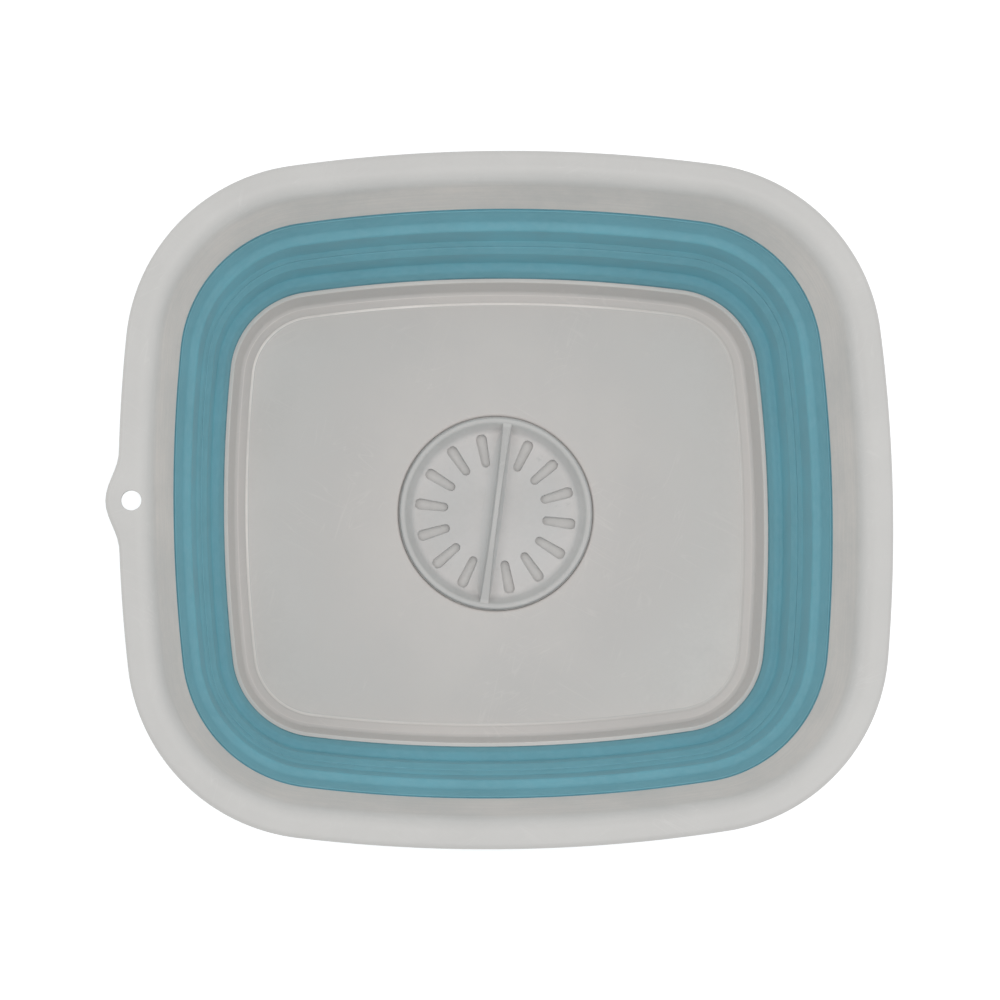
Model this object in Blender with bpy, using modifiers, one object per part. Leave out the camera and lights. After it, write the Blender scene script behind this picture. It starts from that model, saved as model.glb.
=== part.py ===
"""Collapsible camp washbasin with a turn-to-open drain, standing unfolded on its four feet.

Run it with: blender --background --python part.py
The basin is a stack of rounded-rectangle rings on one vertical axis. Each ring's section is drawn
as inset from the rim's outer edge against height above the table, and lofted round the outline.
+X is the long way, the hanging ear is at -X, and +Z is up. Lengths are in metres.
"""

import math

import bmesh
import bpy
from mathutils import Matrix, Vector

MM = 0.001

# Plan of the rim's outer edge: four shallow side arcs joined by four corner arcs
RIM_LENGTH = 380 * MM
RIM_WIDTH = 343 * MM
SIDE_RADIUS = 776 * MM
CORNER_RADIUS = 94 * MM
END_DRAW = 1.3 * MM
TRAY_STRETCH = 1.3 * MM
CORNER_STEPS = 7
SIDE_STEPS = 4

# Gaps between pieces that touch on the real basin, and overruns for cutters and joins
SEAM_GAP = 0.3 * MM
OVERRUN = 1 * MM

# Heights, from the table up
FOOT_CLEARANCE = 2 * MM
SEAT_HEIGHT = 4.7 * MM
SEAT_THICKNESS = 2.2 * MM
FLOOR_HEIGHT = 15 * MM
FLOOR_THICKNESS = 2.5 * MM
TRAY_WALL_HEIGHT = 14 * MM
LOWER_BAND_HEIGHT = 7 * MM
LEDGE_DROP = 2 * MM
FOLD_HEIGHT = 19 * MM
MIDDLE_BAND_HEIGHT = 8 * MM
UPPER_BAND_HEIGHT = 12 * MM
RIM_DEPTH = 32 * MM

# Widths of the wall's steps, from the rim inwards
FLANGE_WIDTH = 7.4 * MM
SHOULDER_RADIUS = 9.5 * MM
RIM_DRAFT = math.radians(16.6)
UPPER_BAND_RUN = 3.9 * MM
UPPER_LEDGE_RUN = 4.6 * MM
FOLD_RUN = 2.2 * MM
MIDDLE_BAND_RUN = 5.8 * MM
LOWER_LEDGE_RUN = 3.4 * MM
LOWER_BAND_RUN = 3.4 * MM
TRAY_LEDGE_WIDTH = 1.5 * MM

# Wall thicknesses
RIM_WALL = 2.4 * MM
BAND_WALL = 2.4 * MM
FOLD_WALL = 1 * MM
MIDDLE_WALL = 2.8 * MM
TRAY_WALL = 2.4 * MM

# Lap joints, where the soft wall is moulded over a tongue of the rim and of the tray
LAP_COVER = 1.2 * MM
UPPER_LAP = 5 * MM
LOWER_LAP = 4 * MM

# Rim: rolled edge, downturned lip and hanging ear
LIP_DEPTH = 6 * MM
EDGE_RADIUS = 3 * MM
EAR_REACH = 6.3 * MM
EAR_HALF_WIDTH = 24 * MM
EAR_STEPS = 8
HANG_HOLE_RADIUS = 5 * MM
HANG_HOLE_INSET = 6.4 * MM

# Soft wall: fillets and the crease round the middle band
LEDGE_FILLET = 2 * MM
TIP_RADIUS = 0.9 * MM
SEAM_EDGE_RADIUS = 0.4 * MM
CREASE_DEPTH = 0.6 * MM
CREASE_HALF_WIDTH = 0.5 * MM

# Tray: inner wall, gutter round the raised floor, outer wall and underside
TRAY_WALL_RUN = 3.3 * MM
TRAY_FILLET = 6 * MM
GUTTER_DEPTH = 0.6 * MM
GUTTER_WIDTH = 0.8 * MM
GUTTER_SLOPE = 0.9 * MM
TRAY_LAP_SHELF = 1.7 * MM
TRAY_LAP_CHAMFER = 2 * MM
FOOT_RUN = 3.8 * MM
UNDERSIDE_FILLET = 2 * MM
RIB_THICKNESS = 1.6 * MM
RIB_HEIGHT = 3 * MM

# Drain disc: a dished plate with a rolled lip and a grip bar across it
DISC_TURN = math.radians(-8.2)
DISC_FLOOR_RADIUS = 43.6 * MM
DISC_WALL_RUN = 4.5 * MM
DISC_LIP_WIDTH = 2.4 * MM
DISC_LIP_HEIGHT = 1.4 * MM
DISC_LIP_DEPTH = 4.6 * MM
DISC_LIP_WALL = 1.6 * MM
DISC_PLATE = 1.8 * MM
DISC_FILLET = 1.2 * MM
BAR_WIDTH = 4.4 * MM
BAR_WAIST = 3.2 * MM
BAR_DROP = 0.5 * MM
BAR_END_SPREAD = 0.4 * MM
BAR_ROOT_SPREAD = 3.6 * MM
BAR_STATIONS = 10
BAR_FLANK_STEPS = 3

# Drain slots: one pattern in the disc, the gasket and the seat
SLOTS_PER_SIDE = 7
SLOT_PITCH = math.radians(24)
SLOT_MARGIN = 0.8 * MM
SLOT_SPAN = 12.6 * MM
SLOT_INNER_RADIUS = 2.2 * MM
SLOT_OUTER_RADIUS = 2.8 * MM
SLOT_END_STEPS = 3

# Drain well in the tray's floor
DISC_CLEARANCE = 0.9 * MM
WELL_WALL = 2.2 * MM

# Gasket under the disc and seal round its lip
GASKET_THICKNESS = 0.8 * MM
GASKET_CLEARANCE = 0.7 * MM
SEAL_WIDTH = 2.6 * MM
SEAL_ROUND = 0.8 * MM

# Pivot: boss on the disc, washer and screw from below
BOSS_RADIUS = 5 * MM
BOSS_STICK_OUT = 0.1 * MM
WASHER_RADIUS = 9 * MM
WASHER_THICKNESS = 1 * MM
WASHER_CLEARANCE = 0.5 * MM
SCREW_RADIUS = 1.5 * MM
SCREW_LENGTH = 6.2 * MM
SCREW_HEAD_RADIUS = 3.4 * MM
SCREW_HEAD_HEIGHT = 1.4 * MM
SCREW_HEAD_ROUND = 0.6 * MM

# Feet: soft buttons plugged into bosses under the tray's corners
FOOT_INSET = 66.5 * MM
FOOT_RADIUS = 7 * MM
FOOT_HEAD = 2.4 * MM
FOOT_ROUND = 0.7 * MM
FOOT_STEM_RADIUS = 3 * MM
FOOT_STEM = 4.6 * MM
FOOT_BOSS_WALL = 1.8 * MM

# Heights of the joints between pieces
FLOOR_UNDERSIDE = FLOOR_HEIGHT - FLOOR_THICKNESS
SEAT_TOP = SEAT_HEIGHT + SEAT_THICKNESS
LOWER_SEAM = FLOOR_HEIGHT + TRAY_WALL_HEIGHT
LOWER_LEDGE = LOWER_SEAM + LOWER_BAND_HEIGHT
LOWER_FOLD_FOOT = LOWER_LEDGE + LEDGE_DROP
LOWER_FOLD_TOP = LOWER_FOLD_FOOT + FOLD_HEIGHT
UPPER_FOLD_FOOT = LOWER_FOLD_TOP + MIDDLE_BAND_HEIGHT
UPPER_FOLD_TOP = UPPER_FOLD_FOOT + FOLD_HEIGHT
UPPER_LEDGE = UPPER_FOLD_TOP + LEDGE_DROP
UPPER_SEAM = UPPER_LEDGE + UPPER_BAND_HEIGHT
RIM_TOP = UPPER_SEAM + RIM_DEPTH

# Insets of the inner face at those heights
SHOULDER_TURN = math.pi / 2 - RIM_DRAFT
SHOULDER_END = FLANGE_WIDTH + SHOULDER_RADIUS * math.sin(SHOULDER_TURN)
SHOULDER_FALL = SHOULDER_RADIUS * (1 - math.cos(SHOULDER_TURN))
UPPER_SEAM_INSET = SHOULDER_END + (RIM_DEPTH - SHOULDER_FALL) * math.tan(RIM_DRAFT)
UPPER_LEDGE_INSET = UPPER_SEAM_INSET + UPPER_BAND_RUN
UPPER_TIP_INSET = UPPER_LEDGE_INSET + UPPER_LEDGE_RUN
MIDDLE_TOP_INSET = UPPER_TIP_INSET + FOLD_RUN
MIDDLE_FOOT_INSET = MIDDLE_TOP_INSET + MIDDLE_BAND_RUN
LOWER_FOLD_INSET = MIDDLE_FOOT_INSET + FOLD_RUN
LOWER_LEDGE_INSET = LOWER_FOLD_INSET + LOWER_LEDGE_RUN
LOWER_SEAM_INSET = LOWER_LEDGE_INSET + LOWER_BAND_RUN

# The ear makes the rim longer at -X, and the origin is under the middle of the whole
AXIS_X = EAR_REACH / 2

# Radii of the drain's pieces, from the disc's floor outwards
SLOT_OUTER_CENTRE = DISC_FLOOR_RADIUS - SLOT_MARGIN - SLOT_OUTER_RADIUS
SLOT_INNER_CENTRE = SLOT_OUTER_CENTRE - SLOT_SPAN
DISC_CROWN_RADIUS = DISC_FLOOR_RADIUS + DISC_WALL_RUN
DISC_LIP_RADIUS = DISC_CROWN_RADIUS + DISC_LIP_WIDTH
WELL_RADIUS = DISC_LIP_RADIUS + DISC_CLEARANCE
SEAL_RADIUS = WELL_RADIUS - SEAM_GAP
GASKET_RADIUS = SEAL_RADIUS - SEAL_WIDTH - GASKET_CLEARANCE
HUB_BORE_RADIUS = BOSS_RADIUS + SEAM_GAP
WASHER_BORE_RADIUS = SCREW_RADIUS + WASHER_CLEARANCE

# Heights of the drain's pieces, from the seat's top
GASKET_FOOT = SEAM_GAP
DISC_UNDERSIDE = GASKET_FOOT + GASKET_THICKNESS + SEAM_GAP
DISC_FLOOR = DISC_UNDERSIDE + DISC_PLATE
DISC_CROWN = FLOOR_HEIGHT - SEAT_TOP + DISC_LIP_HEIGHT
DISC_LIP_FOOT = DISC_CROWN - DISC_LIP_DEPTH
BOSS_FOOT = -SEAT_THICKNESS - BOSS_STICK_OUT
WASHER_TOP = BOSS_FOOT - SEAM_GAP
SCREW_SEAT = WASHER_TOP - WASHER_THICKNESS - SEAM_GAP
SCREW_TIP = SCREW_SEAT + SCREW_LENGTH

# The seat's slots stand half a pitch on from the disc's, so the drain is shut at rest
OPEN_TURN = SLOT_PITCH / 2

# Fineness of the round stretches
ROUND_STEPS = 44
SMALL_STEPS = 16
SHOULDER_STEPS = 4
UNDER_SHOULDER_STEPS = 2
FILLET_STEP = math.radians(56)
FILLET_ROOM_SHARE = 0.45
SMOOTH_ANGLE = math.radians(40)
MERGE_DISTANCE = 0.02 * MM


def clear_scene():
    """Remove whatever the file opened with."""
    for old in list(bpy.data.objects):
        bpy.data.objects.remove(old, do_unlink=True)


def make_collection(name):
    """A collection in the scene's own."""
    collection = bpy.data.collections.new(name)
    bpy.context.scene.collection.children.link(collection)
    return collection


def make_material(name, colour, roughness, metallic=0.0):
    """A Principled material of one plain colour."""
    material = bpy.data.materials.new(name)
    material.use_nodes = True
    shader = material.node_tree.nodes["Principled BSDF"]
    shader.inputs["Base Color"].default_value = (*colour, 1.0)
    shader.inputs["Roughness"].default_value = roughness
    shader.inputs["Metallic"].default_value = metallic
    return material


# Outline of the rim, and the lines parallel to it


def corner_centre():
    """Centre of the +X +Y corner arc, which touches both side arcs from inside."""
    end_centre = Vector((RIM_LENGTH / 2 - SIDE_RADIUS, 0))
    long_centre = Vector((0, RIM_WIDTH / 2 - SIDE_RADIUS))
    between = long_centre - end_centre
    reach = SIDE_RADIUS - CORNER_RADIUS
    rise = math.sqrt(reach**2 - (between.length / 2) ** 2)
    across = Vector((-between.y, between.x)).normalized()
    return (end_centre + long_centre) / 2 + across * rise


def side_turns(half_turn, ear):
    """Angles of the points along one side arc, either side of its middle."""
    turns = [half_turn * (2 * step / SIDE_STEPS - 1) for step in range(SIDE_STEPS + 1)]
    if ear:
        half_ear = math.asin(EAR_HALF_WIDTH / SIDE_RADIUS)
        turns = [turn for turn in turns if abs(turn) > half_ear]
        turns += [half_ear * (2 * step / EAR_STEPS - 1) for step in range(EAR_STEPS + 1)]
    return sorted(turns)


def plan_points(ear=False):
    """The outline's points as arc centre, arc radius and angle, anticlockwise from the +X side."""
    corner = corner_centre()
    end_turn = math.atan2(corner.y, corner.x - (RIM_LENGTH / 2 - SIDE_RADIUS))
    long_turn = math.atan2(corner.x, corner.y - (RIM_WIDTH / 2 - SIDE_RADIUS))
    plan = []
    for quarter in range(4):
        facing = quarter * math.pi / 2
        on_end = quarter % 2 == 0
        half = RIM_LENGTH / 2 if on_end else RIM_WIDTH / 2
        half_turn = end_turn if on_end else long_turn
        centre = Vector((math.cos(facing), math.sin(facing))) * (half - SIDE_RADIUS)
        for turn in side_turns(half_turn, ear and quarter == 2):
            plan.append((centre, SIDE_RADIUS, facing + turn))
        sign_x = 1 if quarter in (0, 3) else -1
        sign_y = 1 if quarter in (0, 1) else -1
        centre = Vector((corner.x * sign_x, corner.y * sign_y))
        next_turn = long_turn if on_end else end_turn
        start = facing + half_turn
        sweep = math.pi / 2 - half_turn - next_turn
        for step in range(1, CORNER_STEPS):
            plan.append((centre, CORNER_RADIUS, start + sweep * step / CORNER_STEPS))
    return plan


PLAIN_PLAN = plan_points()
EAR_PLAN = plan_points(ear=True)


def end_draw(inset):
    """How much farther in the two ends stand than the long sides: most at the upper seam.

    From there it falls until the tray's ends stand farther out.
    """
    if inset < UPPER_SEAM_INSET:
        return END_DRAW * inset / UPPER_SEAM_INSET
    share = min(1.0, (inset - UPPER_SEAM_INSET) / (LOWER_SEAM_INSET - UPPER_SEAM_INSET))
    return END_DRAW - (END_DRAW + TRAY_STRETCH) * share


def parallel_line(plan, inset, height):
    """The outline drawn inwards by an inset, at a height, with its ends drawn in or out."""
    squeeze = 1 - end_draw(inset) / (RIM_LENGTH / 2 - inset)
    return [
        Vector(
            (
                (centre.x + (radius - inset) * math.cos(angle)) * squeeze,
                centre.y + (radius - inset) * math.sin(angle),
                height,
            )
        )
        for centre, radius, angle in plan
    ]


def with_ear(points, inset):
    """The same line with the hanging ear's bulge, which fades out across the flange."""
    fade = min(1.0, max(0.0, (FLANGE_WIDTH - inset) / (FLANGE_WIDTH - EDGE_RADIUS)))
    for point in points:
        if point.x < 0 and abs(point.y) < EAR_HALF_WIDTH:
            swell = (1 + math.cos(math.pi * point.y / EAR_HALF_WIDTH)) / 2
            point.x -= EAR_REACH * fade * swell
    return points


# Sections and solids


def rounded(corners, closed=True):
    """A section's points, with each corner (across, height, radius) turned into a short arc.

    A radius is limited by the two edges that meet at the corner.
    """
    points = []
    count = len(corners)
    for index, (across, height, radius) in enumerate(corners):
        here = Vector((across, height))
        if radius == 0 or (not closed and index in (0, count - 1)):
            points.append(here)
            continue
        before = Vector(corners[index - 1][:2]) - here
        after = Vector(corners[(index + 1) % count][:2]) - here
        half_angle = before.angle(after) / 2
        room = FILLET_ROOM_SHARE * min(before.length, after.length)
        tangent = min(radius / math.tan(half_angle), room)
        radius = tangent * math.tan(half_angle)
        middle = here + (before.normalized() + after.normalized()).normalized() * (
            radius / math.sin(half_angle)
        )
        start = here + before.normalized() * tangent - middle
        end = here + after.normalized() * tangent - middle
        turn = start.angle_signed(end)
        steps = max(1, math.ceil(abs(turn) / FILLET_STEP))
        for step in range(steps + 1):
            points.append(middle + Matrix.Rotation(-turn * step / steps, 2) @ start)
    return points


def new_object(name, mesh, material, collection, parent, origin=(0, 0, 0)):
    """An object on its parent's axis, shaded smooth except across sharp edges."""
    item = bpy.data.objects.new(name, mesh)
    item.parent = parent
    item.location = origin
    if material:
        mesh.materials.append(material)
    collection.objects.link(item)
    mesh.shade_smooth()
    mesh.set_sharp_from_angle(angle=SMOOTH_ANGLE)
    return item


def loft(name, rings, closed):
    """A solid through rings of points: a closed section, or one capped at both ends."""
    mesh = bpy.data.meshes.new(name)
    bm = bmesh.new()
    loops = [[bm.verts.new(point) for point in ring] for ring in rings]
    following = loops[1:] + loops[:1] if closed else loops[1:]
    for first, second in zip(loops, following):
        for index in range(len(first)):
            bm.faces.new((first[index - 1], first[index], second[index], second[index - 1]))
    if not closed:
        bm.faces.new(loops[0])
        bm.faces.new(loops[-1])
    bmesh.ops.recalc_face_normals(bm, faces=bm.faces)
    bm.to_mesh(mesh)
    bm.free()
    return mesh


def ring_loft(name, section, plan=PLAIN_PLAN, ear=False, closed=True):
    """A ring piece: its section of (inset, height) points lofted round the outline."""
    rings = []
    for inset, height in section:
        line = parallel_line(plan, inset, height)
        rings.append(with_ear(line, inset) if ear else line)
    return loft(name, rings, closed)


def turned(name, profile, steps, closed=False):
    """A profile of (radius, height) points for a Screw modifier, run down its outer side."""
    mesh = bpy.data.meshes.new(name)
    count = len(profile)
    edges = [(index, index + 1) for index in range(count - 1)]
    if closed:
        edges.append((count - 1, 0))
    mesh.from_pydata([(radius, 0, height) for radius, height in profile], edges, [])
    return mesh, steps


def add_turned(name, turned_mesh, material, collection, parent, origin=(0, 0, 0)):
    """An object turned from its profile about its own Z axis."""
    mesh, steps = turned_mesh
    item = new_object(name, mesh, material, collection, parent, origin)
    screw = item.modifiers.new("turn", "SCREW")
    screw.steps = steps
    screw.render_steps = steps
    screw.use_merge_vertices = True
    screw.merge_threshold = MERGE_DISTANCE
    screw.use_smooth_shade = True
    return item


def cylinder(name, radius, foot, top, collection, parent, origin=(0, 0, 0), steps=SMALL_STEPS):
    """A helper cylinder between two heights."""
    mesh = bpy.data.meshes.new(name)
    bm = bmesh.new()
    bmesh.ops.create_cone(
        bm,
        cap_ends=True,
        segments=steps,
        radius1=radius,
        radius2=radius,
        depth=top - foot,
        matrix=Matrix.Translation((0, 0, (top + foot) / 2)),
    )
    bm.to_mesh(mesh)
    bm.free()
    return new_object(name, mesh, None, collection, parent, origin)


def as_cutter(item):
    """Show a helper solid as a wire only."""
    item.hide_render = True
    item.display_type = "WIRE"
    return item


def boolean(item, other, operation):
    """Join a helper solid to the object, or cut it out."""
    modifier = item.modifiers.new(f"{operation.lower()} {other.name}", "BOOLEAN")
    modifier.object = as_cutter(other)
    modifier.operation = operation
    modifier.solver = "EXACT"


# Rings of the basin


def lap_slope():
    """Inset gained per unit of fall on the upper band's inner face."""
    return UPPER_BAND_RUN / UPPER_BAND_HEIGHT


def rim_section():
    """Rolled edge, flange, shoulder and wall, with the tongue that the upper band covers."""
    lap_run = UPPER_LAP * lap_slope()
    tongue_inside = UPPER_SEAM_INSET - LAP_COVER - SEAM_GAP
    tongue_outside = UPPER_SEAM_INSET - RIM_WALL
    shoulder = [
        (
            FLANGE_WIDTH + SHOULDER_RADIUS * math.sin(turn),
            RIM_TOP - SHOULDER_RADIUS * (1 - math.cos(turn)),
        )
        for turn in (SHOULDER_TURN * step / SHOULDER_STEPS for step in range(SHOULDER_STEPS + 1))
    ]
    under_radius = SHOULDER_RADIUS - RIM_WALL
    under_turns = [SHOULDER_TURN * step / UNDER_SHOULDER_STEPS for step in range(UNDER_SHOULDER_STEPS + 1)]
    under_shoulder = [
        (
            FLANGE_WIDTH + under_radius * math.sin(turn),
            RIM_TOP - SHOULDER_RADIUS + under_radius * math.cos(turn),
        )
        for turn in reversed(under_turns)
    ]
    edge = rounded(
        [
            (RIM_WALL, RIM_TOP - RIM_WALL, 0),
            (RIM_WALL, RIM_TOP - LIP_DEPTH, 0),
            (0, RIM_TOP - LIP_DEPTH, 0),
            (0, RIM_TOP, EDGE_RADIUS),
            (FLANGE_WIDTH, RIM_TOP, 0),
        ],
        closed=False,
    )
    tongue = [
        (UPPER_SEAM_INSET, UPPER_SEAM),
        (tongue_inside, UPPER_SEAM),
        (tongue_inside + lap_run, UPPER_SEAM - UPPER_LAP),
        (tongue_outside + lap_run, UPPER_SEAM - UPPER_LAP),
        (tongue_outside, UPPER_SEAM),
    ]
    return edge[:-1] + shoulder + tongue + under_shoulder


def upper_band_section():
    """Steep soft wall under the rim, ending in a ledge whose tip carries the upper fold."""
    top = UPPER_SEAM - SEAM_GAP
    lap_foot = UPPER_SEAM - UPPER_LAP - SEAM_GAP
    lap_run = (UPPER_SEAM - lap_foot) * lap_slope()
    tip_height = (UPPER_LEDGE + UPPER_FOLD_TOP) / 2
    return rounded(
        [
            (UPPER_SEAM_INSET, top, SEAM_EDGE_RADIUS),
            (UPPER_LEDGE_INSET, UPPER_LEDGE, LEDGE_FILLET),
            (UPPER_TIP_INSET, tip_height, TIP_RADIUS),
            (UPPER_TIP_INSET, UPPER_FOLD_TOP, 0),
            (UPPER_TIP_INSET - FOLD_WALL, UPPER_FOLD_TOP, 0),
            (UPPER_LEDGE_INSET - BAND_WALL + LEDGE_DROP * lap_slope(), UPPER_FOLD_TOP, LEDGE_FILLET),
            (UPPER_SEAM_INSET - BAND_WALL + lap_run, lap_foot, 0),
            (UPPER_SEAM_INSET - LAP_COVER + lap_run, lap_foot, 0),
            (UPPER_SEAM_INSET - LAP_COVER, top, 0),
        ]
    )


def fold_section(top_inset, top, foot_inset, foot):
    """Thin membrane between two bands, which turns itself over when the basin is collapsed."""
    return [
        (top_inset, top - SEAM_GAP),
        (foot_inset, foot + SEAM_GAP),
        (foot_inset - FOLD_WALL, foot + SEAM_GAP),
        (top_inset - FOLD_WALL, top - SEAM_GAP),
    ]


def middle_band_section():
    """Thick sloping band between the folds, with a crease round its inner face."""
    middle = (UPPER_FOLD_FOOT + LOWER_FOLD_TOP) / 2
    middle_inset = (MIDDLE_TOP_INSET + MIDDLE_FOOT_INSET) / 2
    crease_run = CREASE_HALF_WIDTH * MIDDLE_BAND_RUN / MIDDLE_BAND_HEIGHT
    return rounded(
        [
            (MIDDLE_TOP_INSET, UPPER_FOLD_FOOT, 0),
            (middle_inset - crease_run, middle + CREASE_HALF_WIDTH, 0),
            (middle_inset - CREASE_DEPTH, middle, 0),
            (middle_inset + crease_run, middle - CREASE_HALF_WIDTH, 0),
            (MIDDLE_FOOT_INSET, LOWER_FOLD_TOP, 0),
            (MIDDLE_FOOT_INSET - FOLD_WALL, LOWER_FOLD_TOP, 0),
            (middle_inset - MIDDLE_WALL, middle, TIP_RADIUS),
            (MIDDLE_TOP_INSET - FOLD_WALL, UPPER_FOLD_FOOT, 0),
        ]
    )


def lower_slope():
    """Inset gained per unit of fall on the lower band's inner face."""
    return LOWER_BAND_RUN / LOWER_BAND_HEIGHT


def lower_band_section():
    """Ledge under the lower fold, then the soft wall that covers the tray's tongue."""
    foot = LOWER_SEAM + SEAM_GAP
    lap_top = LOWER_SEAM + LOWER_LAP + SEAM_GAP
    lap_run = (lap_top - foot) * lower_slope()
    foot_inset = LOWER_SEAM_INSET - SEAM_GAP * lower_slope()
    knee_height = (LOWER_LEDGE + LOWER_FOLD_FOOT) / 2
    return rounded(
        [
            (LOWER_FOLD_INSET, LOWER_FOLD_FOOT, 0),
            (LOWER_FOLD_INSET, knee_height, TIP_RADIUS),
            (LOWER_LEDGE_INSET, LOWER_LEDGE, LEDGE_FILLET),
            (foot_inset, foot, SEAM_EDGE_RADIUS),
            (foot_inset - LAP_COVER, foot, 0),
            (foot_inset - LAP_COVER - lap_run, lap_top, 0),
            (foot_inset - BAND_WALL - lap_run, lap_top, 0),
            (LOWER_FOLD_INSET - FOLD_WALL, knee_height - LEDGE_DROP / 2, 0),
            (LOWER_FOLD_INSET - FOLD_WALL, LOWER_FOLD_FOOT, 0),
        ]
    )


def tray_section():
    """Raised floor, gutter, inner wall, ledge, tongue and outer wall down to the foot."""
    floor_edge = (
        LOWER_SEAM_INSET + TRAY_LEDGE_WIDTH + TRAY_WALL_RUN + TRAY_FILLET / 2
        + GUTTER_WIDTH + GUTTER_SLOPE
    )
    gutter_height = FLOOR_HEIGHT - GUTTER_DEPTH
    lap_run = LOWER_LAP * lower_slope()
    tongue_inside = LOWER_SEAM_INSET - LAP_COVER - SEAM_GAP
    tongue_outside = LOWER_SEAM_INSET - BAND_WALL
    wall_top = tongue_outside + TRAY_LAP_SHELF
    wall_top_height = LOWER_SEAM - TRAY_LAP_CHAMFER
    foot_inset = wall_top + FOOT_RUN
    wall_rise = (FLOOR_UNDERSIDE - FOOT_CLEARANCE) / (wall_top_height - FOOT_CLEARANCE)
    return rounded(
        [
            (floor_edge, FLOOR_HEIGHT, 0),
            (floor_edge - GUTTER_SLOPE, gutter_height, 0),
            (
                LOWER_SEAM_INSET + TRAY_LEDGE_WIDTH + TRAY_WALL_RUN,
                gutter_height,
                TRAY_FILLET,
            ),
            (LOWER_SEAM_INSET + TRAY_LEDGE_WIDTH, LOWER_SEAM, SEAM_EDGE_RADIUS),
            (tongue_inside, LOWER_SEAM, 0),
            (tongue_inside - lap_run, LOWER_SEAM + LOWER_LAP, 0),
            (tongue_outside - lap_run, LOWER_SEAM + LOWER_LAP, 0),
            (tongue_outside, LOWER_SEAM, 0),
            (wall_top, wall_top_height, 0),
            (foot_inset, FOOT_CLEARANCE, 0),
            (foot_inset + TRAY_WALL, FOOT_CLEARANCE, 0),
            (
                foot_inset + TRAY_WALL - FOOT_RUN * wall_rise,
                FLOOR_UNDERSIDE,
                UNDERSIDE_FILLET,
            ),
            (floor_edge, FLOOR_UNDERSIDE, 0),
        ],
        closed=False,
    )


def foot_places():
    """Centres of the four feet, on the diagonals of the corner arcs."""
    corner = corner_centre()
    reach = (CORNER_RADIUS - FOOT_INSET) * math.sqrt(0.5)
    return [
        Vector((sign_x * (corner.x + reach), sign_y * (corner.y + reach), 0))
        for sign_x, sign_y in ((1, 1), (-1, 1), (-1, -1), (1, -1))
    ]


# Slots, ribs and the grip bar


def slot_prism(bm, angle, margin, foot, top):
    """One tapered slot with round ends, pointing away from the drain's axis."""
    along = Vector((math.cos(angle), math.sin(angle), 0))
    verts = []
    for centre, radius in (
        (SLOT_INNER_CENTRE, SLOT_INNER_RADIUS + margin),
        (SLOT_OUTER_CENTRE, SLOT_OUTER_RADIUS + margin),
    ):
        for step in range(2 * SLOT_END_STEPS):
            turn = angle + math.pi * step / SLOT_END_STEPS
            place = along * centre + Vector((math.cos(turn), math.sin(turn), 0)) * radius
            for height in (foot, top):
                verts.append(bm.verts.new((place.x, place.y, height)))
    hull = bmesh.ops.convex_hull(bm, input=verts)
    inside = [vert for vert in hull["geom_interior"] if isinstance(vert, bmesh.types.BMVert)]
    bmesh.ops.delete(bm, geom=inside, context="VERTS")


def slot_cutter(name, turn, margin, foot, top, collection, parent):
    """Both fans of slots, either side of the line of the bar."""
    mesh = bpy.data.meshes.new(name)
    bm = bmesh.new()
    for side in (0, math.pi):
        for index in range(SLOTS_PER_SIDE):
            fan = (index - (SLOTS_PER_SIDE - 1) / 2) * SLOT_PITCH
            slot_prism(bm, turn + side + fan, margin, foot, top)
    bmesh.ops.recalc_face_normals(bm, faces=bm.faces)
    bm.to_mesh(mesh)
    bm.free()
    return new_object(name, mesh, None, collection, parent)


def box_between(name, start, end, thickness, foot, top, collection, parent):
    """An upright plate standing on the line from start to end."""
    along = end - start
    mesh = bpy.data.meshes.new(name)
    bm = bmesh.new()
    place = Matrix.Translation((start + end) / 2 + Vector((0, 0, (foot + top) / 2)))
    size = Matrix.Diagonal((along.length, thickness, top - foot, 1))
    turn = Matrix.Rotation(math.atan2(along.y, along.x), 4, "Z")
    bmesh.ops.create_cube(bm, size=1, matrix=place @ turn @ size)
    bm.to_mesh(mesh)
    bm.free()
    return new_object(name, mesh, None, collection, parent)


def grip_bar(name, half_length, collection, parent):
    """A bar along Y, waisted at its middle, whose concave flanks spread widest there at the foot."""
    top = DISC_CROWN - BAR_DROP
    foot = DISC_FLOOR - DISC_PLATE / 2
    rings = []
    for station in range(BAR_STATIONS + 1):
        along = 2 * station / BAR_STATIONS - 1
        middle = 1 - along**2
        half_top = (BAR_WIDTH - (BAR_WIDTH - BAR_WAIST) * middle) / 2
        spread = BAR_END_SPREAD + BAR_ROOT_SPREAD * middle
        flank = [
            (half_top + spread * share**3, top + (DISC_FLOOR - top) * share)
            for share in (step / BAR_FLANK_STEPS for step in range(BAR_FLANK_STEPS + 1))
        ]
        side = [*flank, (half_top + spread, foot)]
        section = side + [(-across, height) for across, height in reversed(side)]
        rings.append([Vector((across, along * half_length, height)) for across, height in section])
    return new_object(name, loft(name, rings, closed=False), None, collection, parent)


# Assembly


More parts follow.
